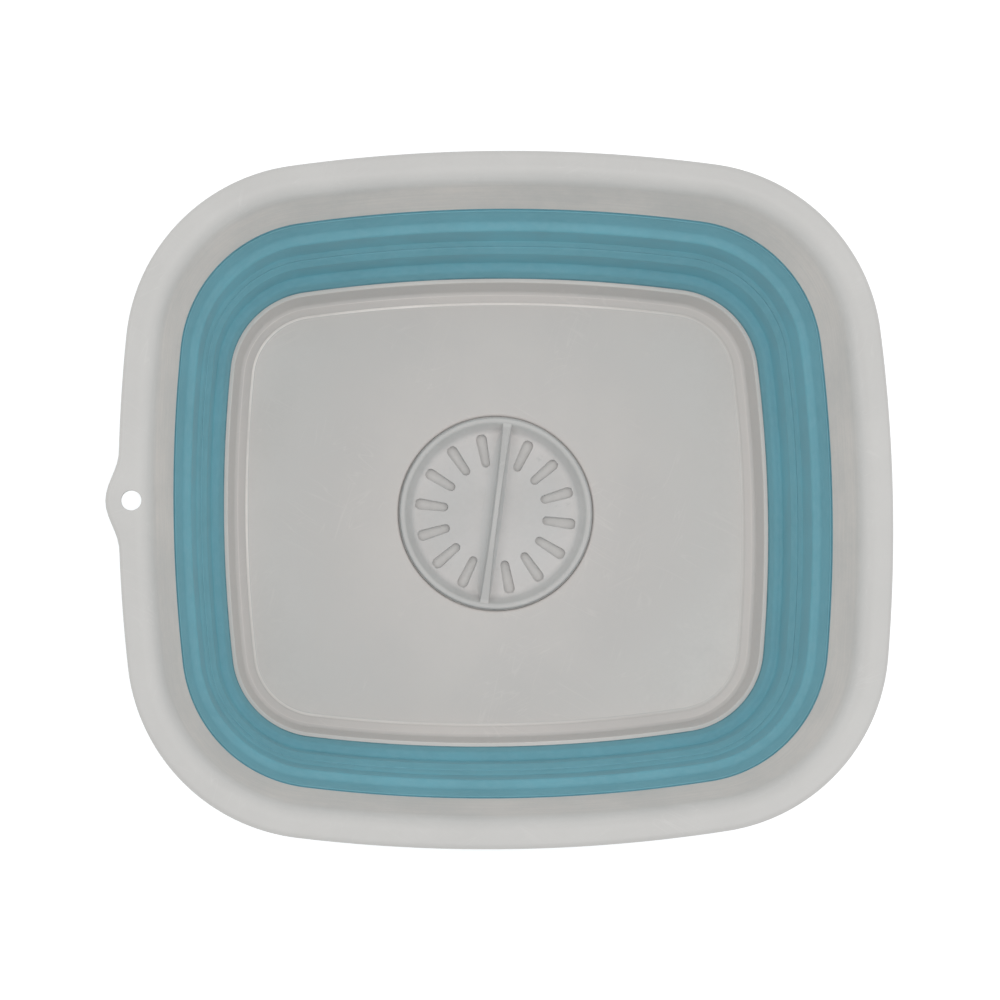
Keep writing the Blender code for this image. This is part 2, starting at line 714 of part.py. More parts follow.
def build_tray(material, pieces, cutters, axis):
    """Tray with its drain well and slotted seat, ribs and bosses for the feet."""
    tray = new_object("base_tray", ring_loft("base_tray", tray_section(), closed=False),
                      material, pieces, axis)
    well_out = WELL_RADIUS + WELL_WALL
    inside_floor = FLOOR_HEIGHT - FLOOR_THICKNESS / 2
    boolean(tray, cylinder("well_wall", well_out, SEAT_HEIGHT, inside_floor, cutters, axis,
                           steps=ROUND_STEPS), "UNION")
    boss_radius = FOOT_STEM_RADIUS + SEAM_GAP + FOOT_BOSS_WALL
    boss_foot = FOOT_HEAD + SEAM_GAP
    rib_foot = FLOOR_UNDERSIDE - RIB_HEIGHT
    places = foot_places()
    for index, place in enumerate(places, 1):
        boss = cylinder(f"foot_boss_{index}", boss_radius, boss_foot, inside_floor, cutters, axis, place)
        boolean(tray, boss, "UNION")
    skirt_inside = LOWER_SEAM_INSET - BAND_WALL + TRAY_LAP_SHELF + TRAY_WALL
    half_length = RIM_LENGTH / 2 + TRAY_STRETCH - skirt_inside
    ends = places + [
        Vector((half_length, 0, 0)),
        Vector((-half_length, 0, 0)),
        Vector((0, RIM_WIDTH / 2 - skirt_inside, 0)),
        Vector((0, skirt_inside - RIM_WIDTH / 2, 0)),
    ]
    for index, end in enumerate(ends, 1):
        start = end.normalized() * (well_out - WELL_WALL / 2)
        rib = box_between(f"rib_{index}", start, end, RIB_THICKNESS, rib_foot, inside_floor, cutters, axis)
        boolean(tray, rib, "UNION")
    boolean(tray, cylinder("well", WELL_RADIUS, SEAT_TOP, FLOOR_HEIGHT + OVERRUN, cutters, axis,
                           steps=ROUND_STEPS), "DIFFERENCE")
    boolean(tray, cylinder("hub_bore", HUB_BORE_RADIUS, SEAT_HEIGHT - OVERRUN,
                           SEAT_TOP + OVERRUN, cutters, axis), "DIFFERENCE")
    seat_slots = slot_cutter("seat_slots", DISC_TURN + OPEN_TURN, 0, SEAT_HEIGHT - OVERRUN,
                             SEAT_TOP + OVERRUN, cutters, axis)
    boolean(tray, seat_slots, "DIFFERENCE")
    for index, place in enumerate(places, 1):
        bore = cylinder(f"foot_bore_{index}", FOOT_STEM_RADIUS + SEAM_GAP, boss_foot - OVERRUN,
                        FOOT_HEAD + FOOT_STEM + SEAM_GAP, cutters, axis, place)
        boolean(tray, bore, "DIFFERENCE")


def build_feet(material, pieces, axis):
    """Four soft buttons, each with a stem that plugs into its boss."""
    profile = rounded(
        [
            (0, FOOT_HEAD + FOOT_STEM, 0),
            (FOOT_STEM_RADIUS - FOOT_ROUND, FOOT_HEAD + FOOT_STEM, 0),
            (FOOT_STEM_RADIUS, FOOT_HEAD + FOOT_STEM - FOOT_ROUND, 0),
            (FOOT_STEM_RADIUS, FOOT_HEAD, 0),
            (FOOT_RADIUS, FOOT_HEAD, FOOT_ROUND),
            (FOOT_RADIUS, 0, FOOT_ROUND),
            (0, 0, 0),
        ],
        closed=False,
    )
    for index, place in enumerate(foot_places(), 1):
        name = f"foot_pad_{index}"
        add_turned(name, turned(name, profile, SMALL_STEPS), material, pieces, axis, place)


def build_rings(hard, soft, pieces, cutters, axes):
    """Rim frame and the five parts of the soft wall, each on the axis that carries it."""
    rim = new_object("rim_frame", ring_loft("rim_frame", rim_section(), EAR_PLAN, ear=True),
                     hard, pieces, axes["rim"])
    hole_x = HANG_HOLE_INSET - RIM_LENGTH / 2
    hole = cylinder("hang_hole", HANG_HOLE_RADIUS, RIM_TOP - SHOULDER_RADIUS, RIM_TOP + OVERRUN,
                    cutters, axes["rim"], (hole_x, 0, 0), 2 * SMALL_STEPS)
    boolean(rim, hole, "DIFFERENCE")
    new_object("upper_band", ring_loft("upper_band", upper_band_section(), EAR_PLAN),
               soft, pieces, axes["rim"])
    new_object("upper_fold", ring_loft("upper_fold", fold_section(
        UPPER_TIP_INSET, UPPER_FOLD_TOP, MIDDLE_TOP_INSET, UPPER_FOLD_FOOT)),
        soft, pieces, axes["middle"])
    new_object("middle_band", ring_loft("middle_band", middle_band_section()),
               soft, pieces, axes["middle"])
    new_object("lower_fold", ring_loft("lower_fold", fold_section(
        MIDDLE_FOOT_INSET, LOWER_FOLD_TOP, LOWER_FOLD_INSET, LOWER_FOLD_FOOT)),
        soft, pieces, axes["base"])
    new_object("lower_band", ring_loft("lower_band", lower_band_section()),
               soft, pieces, axes["base"])


def disc_profile():
    """Top of the dish, over the rolled lip, along the underside and down the pivot boss."""
    slope = DISC_WALL_RUN / (DISC_CROWN - DISC_FLOOR)
    lip_inside = DISC_LIP_RADIUS - DISC_LIP_WALL
    under_height = DISC_CROWN - 2 * DISC_LIP_WALL
    under_radius = DISC_FLOOR_RADIUS + slope * (under_height - DISC_UNDERSIDE) + DISC_LIP_WALL / 2
    return rounded(
        [
            (0, DISC_FLOOR, 0),
            (DISC_FLOOR_RADIUS, DISC_FLOOR, DISC_FILLET),
            (DISC_CROWN_RADIUS, DISC_CROWN, DISC_FILLET),
            (DISC_LIP_RADIUS, DISC_CROWN, DISC_FILLET),
            (DISC_LIP_RADIUS, DISC_LIP_FOOT, 0),
            (lip_inside, DISC_LIP_FOOT, 0),
            (lip_inside, under_height, 0),
            (under_radius, under_height, 0),
            (DISC_FLOOR_RADIUS + DISC_LIP_WALL / 2, DISC_UNDERSIDE, 0),
            (BOSS_RADIUS, DISC_UNDERSIDE, 0),
            (BOSS_RADIUS, BOSS_FOOT, 0),
            (0, BOSS_FOOT, 0),
        ],
        closed=False,
    )


def build_disc(material, pieces, cutters, valve):
    """Slotted dish with its grip bar, turned a little from the basin's own line."""
    disc = add_turned("drain_disc", turned("drain_disc", disc_profile(), ROUND_STEPS),
                      material, pieces, valve)
    disc.rotation_euler.z = DISC_TURN
    bar_reach = GASKET_RADIUS
    boolean(disc, grip_bar("grip_bar", bar_reach, cutters, disc), "UNION")
    slots = slot_cutter("disc_slots", 0, 0, DISC_UNDERSIDE - OVERRUN, DISC_FLOOR + OVERRUN,
                        cutters, disc)
    boolean(disc, slots, "DIFFERENCE")
    pilot = cylinder("pilot_hole", SCREW_RADIUS + SEAM_GAP, BOSS_FOOT - OVERRUN,
                     SCREW_TIP + SEAM_GAP, cutters, disc)
    boolean(disc, pilot, "DIFFERENCE")


def build_seals(material, pieces, cutters, seat):
    """The slotted gasket on the well's seat, and the ring that seals the disc's lip."""
    gasket_top = GASKET_FOOT + GASKET_THICKNESS
    ring = [(HUB_BORE_RADIUS, gasket_top), (GASKET_RADIUS, gasket_top), (GASKET_RADIUS, GASKET_FOOT),
            (HUB_BORE_RADIUS, GASKET_FOOT)]
    gasket = add_turned("valve_gasket", turned("valve_gasket", ring, ROUND_STEPS, closed=True),
                        material, pieces, seat)
    slots = slot_cutter("gasket_slots", DISC_TURN + OPEN_TURN, SEAM_GAP, GASKET_FOOT - OVERRUN,
                        gasket_top + OVERRUN, cutters, seat)
    boolean(gasket, slots, "DIFFERENCE")
    seal_in = SEAL_RADIUS - SEAL_WIDTH
    seal_top = DISC_LIP_FOOT - SEAM_GAP
    section = rounded(
        [
            (seal_in, seal_top, SEAL_ROUND),
            (SEAL_RADIUS, seal_top, 0),
            (SEAL_RADIUS, GASKET_FOOT, 0),
            (seal_in, GASKET_FOOT, 0),
        ]
    )
    add_turned("lip_seal", turned("lip_seal", section, ROUND_STEPS, closed=True),
               material, pieces, seat)


def build_pivot(plastic, steel, pieces, valve):
    """Washer under the seat and the screw that holds the disc down on it."""
    washer_foot = WASHER_TOP - WASHER_THICKNESS
    ring = [(WASHER_BORE_RADIUS, WASHER_TOP), (WASHER_RADIUS, WASHER_TOP),
            (WASHER_RADIUS, washer_foot), (WASHER_BORE_RADIUS, washer_foot)]
    add_turned("pivot_washer", turned("pivot_washer", ring, 2 * SMALL_STEPS, closed=True),
               plastic, pieces, valve)
    profile = rounded(
        [
            (0, SCREW_TIP, 0),
            (SCREW_RADIUS, SCREW_TIP - SCREW_RADIUS, 0),
            (SCREW_RADIUS, SCREW_SEAT, 0),
            (SCREW_HEAD_RADIUS, SCREW_SEAT, 0),
            (SCREW_HEAD_RADIUS, SCREW_SEAT - SCREW_HEAD_HEIGHT, SCREW_HEAD_ROUND),
            (0, SCREW_SEAT - SCREW_HEAD_HEIGHT, 0),
        ],
        closed=False,
    )
    add_turned("pivot_screw", turned("pivot_screw", profile, SMALL_STEPS), steel, pieces, valve)


def make_axis(name, height, parent, collection):
    """An empty on the basin's axis, which carries the pieces of one moving body."""
    empty = bpy.data.objects.new(name, None)
    empty.parent = parent
    empty.location = (0, 0, height)
    collection.objects.link(empty)
    return empty


def main():
    """Build the axes, then every piece on its own."""
    clear_scene()
    pieces = make_collection("collapsible_washbasin")
    cutters = make_collection("cutters")
    hard = make_material("grey_moulding", (0.6, 0.595, 0.58), 0.42)
    soft = make_material("teal_elastomer", (0.15, 0.38, 0.45), 0.5)
    seal = make_material("grey_elastomer", (0.6, 0.595, 0.58), 0.6)
    steel = make_material("stainless_steel", (0.6, 0.6, 0.6), 0.3, metallic=1.0)

    base = make_axis("base_axis", 0, None, pieces)
    base.location.x = AXIS_X
    middle = make_axis("middle_wall_slide", 0, base, pieces)
    rim = make_axis("rim_slide", 0, middle, pieces)
    seat = make_axis("drain_seat", SEAT_TOP, base, pieces)
    valve = make_axis("drain_turn", 0, seat, pieces)

    build_rings(hard, soft, pieces, cutters, {"base": base, "middle": middle, "rim": rim})
    build_tray(hard, pieces, cutters, base)
    build_feet(soft, pieces, base)
    build_disc(hard, pieces, cutters, valve)
    build_seals(seal, pieces, cutters, seat)
    build_pivot(hard, steel, pieces, valve)


main()
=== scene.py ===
"""Looks of a collapsible camp washbasin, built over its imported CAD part.

Every piece is made in metres in the part's own frame. The basin is a stack of rounded-rectangle
rings on one upright axis: a ring's section is drawn as inset from the rim's outer edge against
height above the table, and lofted round the outline.
"""
import logging
import math
from abc import ABC, abstractmethod
from collections.abc import Mapping, Sequence
from dataclasses import dataclass, field
from enum import Enum
from functools import cached_property, reduce
from typing import Any

import bmesh
import bpy
from mathutils import Matrix, Vector


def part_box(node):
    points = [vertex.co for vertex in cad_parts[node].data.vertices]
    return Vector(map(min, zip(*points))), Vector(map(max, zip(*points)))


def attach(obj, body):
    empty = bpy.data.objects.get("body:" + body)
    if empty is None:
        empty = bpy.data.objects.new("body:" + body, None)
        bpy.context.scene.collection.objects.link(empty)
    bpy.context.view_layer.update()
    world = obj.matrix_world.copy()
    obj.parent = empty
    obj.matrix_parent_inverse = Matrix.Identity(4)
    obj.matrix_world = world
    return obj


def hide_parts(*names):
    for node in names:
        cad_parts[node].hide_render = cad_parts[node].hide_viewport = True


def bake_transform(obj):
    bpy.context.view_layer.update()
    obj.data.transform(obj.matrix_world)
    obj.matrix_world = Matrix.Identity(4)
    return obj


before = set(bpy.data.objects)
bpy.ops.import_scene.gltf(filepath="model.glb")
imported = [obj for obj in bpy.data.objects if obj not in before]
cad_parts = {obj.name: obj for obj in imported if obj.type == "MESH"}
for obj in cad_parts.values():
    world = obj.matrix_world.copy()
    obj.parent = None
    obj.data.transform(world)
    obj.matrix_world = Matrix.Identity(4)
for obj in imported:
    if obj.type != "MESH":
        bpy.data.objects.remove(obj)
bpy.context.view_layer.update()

MM = 0.001
WHITE = (1.0, 1.0, 1.0, 1.0)

# Rounded corners: the arcs' step, their share of a straight and the point kept beside them
ARC_STEP = math.radians(9)
TANGENT_SHARE = 0.47
GUARD = 0.25 * MM

# Meshes: the turn that reads as an edge, and the distance at which points are one
SHARP_ANGLE = math.radians(38)
WELD = 0.002 * MM

# Cutters: how far they start before a face and end past it, and their rounded mouth
OVERRUN = 1 * MM
RUN_OUT = 0.12 * MM
FLARE_TURN = math.radians(80)
FLARE_STEPS = 8

Ring = list[Vector]
Profile = list[Vector]
Rgb = tuple[float, float, float]
log = logging.getLogger("washbasin")


class Body(Enum):
    """The CAD bodies that carry the pieces."""

    BASE = "base"
    MIDDLE = "middle_wall"
    RIM = "rim"
    DRAIN = "drain"


class Slot(Enum):
    """The material slots."""

    HARD = "grey_moulding"
    SOFT = "teal_elastomer"
    SEAL = "grey_elastomer"
    STEEL = "stainless_steel"


class Join(Enum):
    """What a helper solid does to the piece that it meets."""

    ADD = "UNION"
    CUT = "DIFFERENCE"


# Shader expressions


class Graph:
    """The node tree of one material or world, with one way of adding a node."""

    def __init__(self, tree: bpy.types.NodeTree) -> None:
        """Empty the tree and keep it.

        Args:
            tree: The node tree to fill.
        """
        self.tree = tree
        tree.nodes.clear()

    def add(
        self,
        kind: str,
        settings: Mapping[str, Any] | None = None,
        sockets: Mapping[str | int, Any] | None = None,
    ) -> bpy.types.Node:
        """Add a node, set it, then give its sockets their values or links.

        Args:
            kind: The node's type.
            settings: The node's own properties, set before its sockets.
            sockets: Values or links by the socket's name or number.

        Returns:
            The new node.
        """
        node = self.tree.nodes.new(kind)
        for name, setting in (settings or {}).items():
            setattr(node, name, setting)
        for key, content in (sockets or {}).items():
            source = content.socket if isinstance(content, Signal) else content
            if isinstance(source, bpy.types.NodeSocket):
                self.tree.links.new(source, node.inputs[key])
            else:
                node.inputs[key].default_value = source
        return node

    def value(self, node: bpy.types.Node, output: str | int = 0) -> "Value":
        """One of the node's outputs as a number."""
        return Value(self, node.outputs[output])

    def place(self) -> "Place":
        """The point being shaded, in the piece's own coordinates."""
        return Place(self, self.add("ShaderNodeTexCoord").outputs["Object"])

    def facing(self) -> "Place":
        """The direction that the surface faces."""
        return Place(self, self.add("ShaderNodeNewGeometry").outputs["Normal"])

    def seen(self) -> "Value":
        """Tell what is looked at from what only sends light on.

        Returns:
            A mask that is 1 for the camera's, gloss's and glass's rays.
        """
        path = self.add("ShaderNodeLightPath")
        rays = ("Is Camera Ray", "Is Glossy Ray", "Is Transmission Ray")
        return reduce(Value.most, [self.value(path, ray) for ray in rays])

    def tint(self, colour: Rgb) -> "Tint":
        """Start a colour that other colours are mixed with.

        Args:
            colour: The plain colour.

        Returns:
            The colour as a signal.
        """
        node = self.add("ShaderNodeRGB")
        node.outputs[0].default_value = (*colour, 1.0)
        return Tint(self, node.outputs[0])


class Signal:
    """A node's output socket."""

    def __init__(self, graph: Graph, socket: bpy.types.NodeSocket) -> None:
        """Keep the socket and the graph that it is in.

        Args:
            graph: The graph that new nodes go into.
            socket: The output socket.
        """
        self.graph = graph
        self.socket = socket


class Value(Signal):
    """A number that varies over the surface. Arithmetic on it adds Math nodes."""

    def _math(self, operation: str, first: "float | Value", second: "float | Value") -> "Value":
        """Add one Math node.

        Args:
            operation: The Math node's operation.
            first: Its first operand.
            second: Its second operand.

        Returns:
            The result.
        """
        node = self.graph.add("ShaderNodeMath", {"operation": operation}, {0: first, 1: second})
        return self.graph.value(node)

    def __add__(self, other: "float | Value") -> "Value":
        """Sum."""
        return self._math("ADD", self, other)

    def __radd__(self, other: float) -> "Value":
        """Sum, number first."""
        return self._math("ADD", other, self)

    def __sub__(self, other: "float | Value") -> "Value":
        """Difference."""
        return self._math("SUBTRACT", self, other)

    def __rsub__(self, other: float) -> "Value":
        """Difference, number first."""
        return self._math("SUBTRACT", other, self)

    def __mul__(self, other: "float | Value") -> "Value":
        """Product."""
        return self._math("MULTIPLY", self, other)

    def __rmul__(self, other: float) -> "Value":
        """Product, number first."""
        return self._math("MULTIPLY", other, self)

    def __abs__(self) -> "Value":
        """Size without sign."""
        return self._math("ABSOLUTE", self, 0.0)

    def most(self, other: "float | Value") -> "Value":
        """The larger of two values."""
        return self._math("MAXIMUM", self, other)

    def ramp(self, low: float, high: float, foot: float = 0.0) -> "Value":
        """Ease up to 1.

        Args:
            low: Where the rise starts. It may lie above high, for a fall.
            high: Where the rise ends.
            foot: Level at low.

        Returns:
            The eased value, held level outside the two ends.
        """
        node = self.graph.add(
            "ShaderNodeMapRange",
            {"interpolation_type": "SMOOTHSTEP"},
            {"Value": self, "From Min": low, "From Max": high, "To Min": foot, "To Max": 1.0},
        )
        return self.graph.value(node)


class Tint(Signal):
    """A colour that varies over the surface."""

    def mixed(self, other: Rgb, share: Value) -> "Tint":
        """Mix in another colour.

        Args:
            other: The colour at a share of 1.
            share: How much of it shows.

        Returns:
            The mixed colour.
        """
        node = self.graph.add(
            "ShaderNodeMix",
            {"data_type": "RGBA", "blend_type": "MIX", "clamp_factor": True},
            {0: share, 6: self, 7: (*other, 1.0)},
        )
        return Tint(self.graph, node.outputs[2])


class Place(Signal):
    """A point or direction that varies over the surface. Arithmetic adds Vector Math nodes."""

    def _vector_math(self, operation: str, sockets: Mapping[str | int, Any]) -> bpy.types.Node:
        """Add one Vector Math node.

        Args:
            operation: The node's operation.
            sockets: What its sockets get.

        Returns:
            The node.
        """
        return self.graph.add("ShaderNodeVectorMath", {"operation": operation}, sockets)

    def __mul__(self, factors: tuple[float, float, float]) -> "Place":
        """Stretch along each axis."""
        return Place(self.graph, self._vector_math("MULTIPLY", {0: self, 1: factors}).outputs[0])

    def __sub__(self, other: tuple[float, float, float]) -> "Place":
        """Shift by a fixed vector."""
        return Place(self.graph, self._vector_math("SUBTRACT", {0: self, 1: other}).outputs[0])

    def length(self) -> Value:
        """Distance from the origin."""
        return self.graph.value(self._vector_math("LENGTH", {0: self}), "Value")

    def height(self) -> Value:
        """Height above the table, or how far a direction points up."""
        return self.graph.value(self.graph.add("ShaderNodeSeparateXYZ", None, {0: self}), "Z")

    def beside_axis(self, axis_x: float) -> "Place":
        """The place beside the basin's upright axis, laid flat."""
        return (self - (axis_x, 0.0, 0.0)) * (1.0, 1.0, 0.0)

    def layer(self, foot: float, top: float, edge: float) -> Value:
        """Mask that is 1 between two heights and eases out beyond them.

        Args:
            foot: The lower height.
            top: The upper height.
            edge: How far beyond them the mask reaches 0.

        Returns:
            The mask.
        """
        height = self.height()
        return height.ramp(foot - edge, foot) * height.ramp(top + edge, top)

    def along(self, direction: tuple[float, float, float]) -> Value:
        """Distance from the origin along a direction."""
        node = self._vector_math("DOT_PRODUCT", {0: self, 1: direction})
        return self.graph.value(node, "Value")

    def turned(self, angle: float) -> "Place":
        """Turn about the upright axis."""
        node = self.graph.add(
            "ShaderNodeVectorRotate", {"rotation_type": "Z_AXIS"}, {"Vector": self, "Angle": angle}
        )
        return Place(self.graph, node.outputs[0])

    def noise(self, size: float, detail: float, roughness: float = 0.5) -> Value:
        """Soft noise.

        Args:
            size: Size of one blotch, in metres.
            detail: Number of finer layers on top.
            roughness: Strength of the finer layers.

        Returns:
            The noise, around 0.5.
        """
        node = self.graph.add(
            "ShaderNodeTexNoise",
            None,
            {"Vector": self, "Scale": 1 / size, "Detail": detail, "Roughness": roughness},
        )
        return self.graph.value(node)


# Finishes


def shade(colour: Rgb, gain: float) -> Rgb:
    """A colour made lighter or darker, with no channel above 1."""
    return tuple(min(1.0, level * gain) for level in colour)


@dataclass(frozen=True)
class Mottle:
    """Soft noise eased into a mask."""

    size: float
    low: float
    high: float
    detail: float = 3.0
    roughness: float = 0.5

    def over(self, place: Place) -> Value:
        """The mask at the point being shaded."""
        return place.noise(self.size, self.detail, self.roughness).ramp(self.low, self.high)


@dataclass(frozen=True)
class Scratches:
    """Hair-fine scratches that run one way, in patches."""

    turn: float
    size: float
    squash: float = 0.09
    spacing: float = 7 * MM
    width: float = 0.016
    patch: float = 38 * MM
    patch_levels: tuple[float, float] = (0.54, 0.66)

    def over(self, place: Place) -> Value:
        """Find the scratches.

        Args:
            place: The point being shaded.

        Returns:
            A mask that is 1 on a scratch.
        """
        across = 1.0 / self.size
        along = place.turned(self.turn) * (self.squash / self.size, across, across)
        ridge = abs(along.noise(self.spacing, 1.0) - 0.5)
        patches = Mottle(self.patch * self.size, *self.patch_levels, 2.0).over(place)
        return ridge.ramp(self.width, 0.0) * patches


@dataclass(frozen=True)
class Grain:
    """Moulded texture too fine to be a shape."""

    size: float
    depth: float
    strength: float
    detail: float = 2.0

    def over(self, place: Place) -> bpy.types.NodeSocket:
        """Add the texture.

        Args:
            place: The point being shaded.

        Returns:
            The socket that goes to a shader's Normal.
        """
        height = place.noise(self.size, self.detail)
        bump = place.graph.add(
            "ShaderNodeBump",
            None,
            {"Strength": self.strength, "Distance": self.depth, "Height": height},
        )
        return bump.outputs[0]


@dataclass(frozen=True)
class Finish(ABC):
    """A material made of nodes."""

    name: str

    @abstractmethod
    def dress(self, graph: Graph) -> bpy.types.Node:
        """Add the nodes.

        Args:
            graph: The material's graph.

        Returns:
            The node whose first output is the surface.
        """

    def material(self) -> bpy.types.Material:
        """Make the material.

        Returns:
            The material, with this finish's nodes.
        """
        made = bpy.data.materials.new(self.name)
        made.use_nodes = True
        graph = Graph(made.node_tree)
        shader = self.dress(graph)
        graph.add("ShaderNodeOutputMaterial", None, {"Surface": shader.outputs[0]})
        return made


@dataclass(frozen=True)
class MouldedGrey(Finish):
    """Satin grey plastic with faint clouds, fine scratches, a matt mould texture and painted
    light: a second colour below a height.
    """

    colour: Rgb = (0.584, 0.579, 0.565)
    # Painted light: below the span the rim's steep wall takes a lighter colour, as if lit like the
    # flange.
    painted_light_low_colour: Rgb = (0.72, 0.676, 0.639)
    painted_light_span: tuple[float, float] = (128.5 * MM, 120 * MM)
    axis_x: float = 0.0
    pale_scratch_and_light_gain: float = 1.16
    clouds: Mottle = Mottle(46 * MM, 0.3, 0.72, 4.0, 0.6)
    cloud_depth: float = 0.05
    cloud_share: float = 0.5
    specks: Mottle = Mottle(2.4 * MM, 0.25, 0.75)
    speck_share: float = 0.12
    scratches: tuple[Scratches, ...] = (
        Scratches(0.5, 1.0),
        Scratches(1.9, 0.8),
        Scratches(2.7, 0.7),
    )
    scratch_share: float = 0.2
    roughness: float = 0.42
    cloud_roughness: float = 0.07
    speck_roughness: float = 0.04
    scratch_roughness: float = 0.12
    grain: Grain = Grain(0.32 * MM, 0.05 * MM, 0.16)
    ior: float = 1.49

    @property
    def pale_scratch_and_painted_light(self) -> Rgb:
        """The plastic where it is scratched, and the painted light on the tray's floor."""
        return shade(self.colour, self.pale_scratch_and_light_gain)

    @property
    def dull_and_painted_shade(self) -> Rgb:
        """The plastic where it is dull, and the painted shade on the grip bar's ends."""
        return shade(self.colour, 1 - 2 * self.cloud_depth)

    def dress(self, graph: Graph) -> bpy.types.Node:
        """Add the plastic's nodes.

        Args:
            graph: The material's graph.

        Returns:
            The surface shader.
        """
        place = graph.place()
        clouds = self.clouds.over(place)
        specks = self.specks.over(place)
        lines = reduce(Value.most, [scratches.over(place) for scratches in self.scratches])
        lines = lines * self.scratch_share
        # Painted light: a second colour eased in below a height.
        low = place.height().ramp(*self.painted_light_span)
        colour = self.painted_light_under_clouds(graph.tint(self.colour).mixed(self.painted_light_low_colour, low), place)
        dull = (1 - clouds) * self.cloud_share + (1 - specks) * self.speck_share
        colour = self.marks_and_painted_shade(colour.mixed(self.dull_and_painted_shade, dull), place).mixed(self.pale_scratch_and_painted_light, lines)
        roughness = self.roughness + (clouds - 0.5) * self.cloud_roughness
        roughness = roughness + specks * self.speck_roughness + lines * self.scratch_roughness
        return graph.add(
            "ShaderNodeBsdfPrincipled",
            None,
            {
                "Base Color": colour,
                "Roughness": roughness,
                "IOR": self.ior,
                "Normal": self.grain.over(place),
            },
        )

    def painted_light_under_clouds(self, colour: Tint, place: Place) -> Tint:
        """The colour with painted light, which lies under the clouds."""
        return colour

    def marks_and_painted_shade(self, colour: Tint, place: Place) -> Tint:
        """The colour with marks and painted shade, which lie over the clouds."""
        return colour


@dataclass(frozen=True)
class RimGrey(MouldedGrey):
    """The rim's plastic, with faint marks that run round it."""

    rings: Mottle = Mottle(1.3 * MM, 0.35, 0.65, 2.0)
    ring_squash: float = 0.04
    ring_share: float = 0.2

    def marks_and_painted_shade(self, colour: Tint, place: Place) -> Tint:
        """Add the marks that run round the rim.

        Args:
            colour: The clouded colour.
            place: The point being shaded.

        Returns:
            The marked colour.
        """
        rings = self.rings.over(place * (self.ring_squash, self.ring_squash, 1.0))
        return colour.mixed(self.dull_and_painted_shade, rings * self.ring_share)


@dataclass(frozen=True)
class TrayGrey(MouldedGrey):
    """The tray's plastic: a painted highlight on its top lip, painted light on the floor farther
    out, and a painted highlight on its bead.
    """

    # Painted highlight: the colour above the span, on the tray's top lip, is lighter than the wall
    # and floor below.
    colour: Rgb = (0.74, 0.69, 0.655)
    painted_light_low_colour: Rgb = (0.608, 0.572, 0.55)
    painted_light_span: tuple[float, float] = (28.8 * MM, 27.4 * MM)
    cloud_depth: float = 0.065
    scratch_share: float = 0.12
    # Painted light: the floor is paler towards its ends, with a painted highlight in one corner
    # and on the far border.
    end_stretch: tuple[float, float, float] = (1.0, 0.7, 0.0)
    end_span: tuple[float, float] = (70 * MM, 150 * MM)
    end_share: float = 0.6
    corner_way: tuple[float, float, float] = (0.6, -0.8, 0.0)
    corner_span: tuple[float, float] = (80 * MM, 140 * MM)
    corner_share: float = 0.27
    inside_span: tuple[float, float] = (15.1 * MM, 15.04 * MM)
    border_span: tuple[float, float] = (15.5 * MM, 15.2 * MM)
    far_span: tuple[float, float] = (60 * MM, 120 * MM)
    far_share: float = 0.5
    upward_span: tuple[float, float] = (0.6, 0.9)
    # Painted highlight: the bead's crest is lighter, most on the side towards the ear, as if lit
    # from there.
    bead_highlight_gain: float = 1.3
    bead_highlight_way: tuple[float, float, float] = (-0.8, 0.6, 0.0)
    bead_highlight_span: tuple[float, float] = (-150 * MM, 120 * MM)
    least_bead_highlight: float = 0.15
    crest: tuple[float, float] = (15.28 * MM, 15.58 * MM)
    crest_edge: float = 0.1 * MM
    crest_upward_span: tuple[float, float] = (0.945, 0.965)

    def painted_light_under_clouds(self, colour: Tint, place: Place) -> Tint:
        """Paint light on the floor, then a painted highlight on the bead round it.

        Args:
            colour: The plain colour.
            place: The point being shaded.

        Returns:
            The aged colour.
        """
        upward = place.graph.facing().height()
        flat = place.beside_axis(self.axis_x)
        # Painted light on the floor.
        colour = colour.mixed(self.pale_scratch_and_painted_light, self._painted_floor_light(place, flat, upward))
        # Painted highlight on the bead's crest.
        bead_highlight = shade(self.colour, self.bead_highlight_gain)
        return colour.mixed(bead_highlight, self._painted_bead_highlight(place, flat, upward))

    def _painted_floor_light(self, place: Place, flat: Place, upward: Value) -> Value:
        """Painted light on the floor: towards its ends, and most in one corner away from the ear.

        Args:
            place: The point being shaded.
            flat: The same beside the axis, laid flat.
            upward: How far the surface faces up.

        Returns:
            How much painted light the floor takes. Its border takes it only at the end away from
            the ear.
        """
        ends = (flat * self.end_stretch).length().ramp(*self.end_span) * self.end_share
        corner = flat.along(self.corner_way).ramp(*self.corner_span) * self.corner_share
        far_end = flat.along((1.0, 0.0, 0.0)).ramp(*self.far_span) * self.far_share
        inside = place.height().ramp(*self.inside_span)
        border = place.height().ramp(*self.border_span) * far_end
        return (ends + corner) * inside.most(border) * upward.ramp(*self.upward_span)

    def _painted_bead_highlight(self, place: Place, flat: Place, upward: Value) -> Value:
        """Painted highlight on the crest of the floor's bead, most of it towards the ear.

        Args:
            place: The point being shaded.
            flat: The same beside the axis, laid flat.
            upward: How far the surface faces up.

        Returns:
            A mask that is 1 where the painted highlight is strongest.
        """
        side = flat.along(self.bead_highlight_way).ramp(*self.bead_highlight_span, self.least_bead_highlight)
        crest = place.layer(*self.crest, self.crest_edge)
        return crest * upward.ramp(*self.crest_upward_span) * side


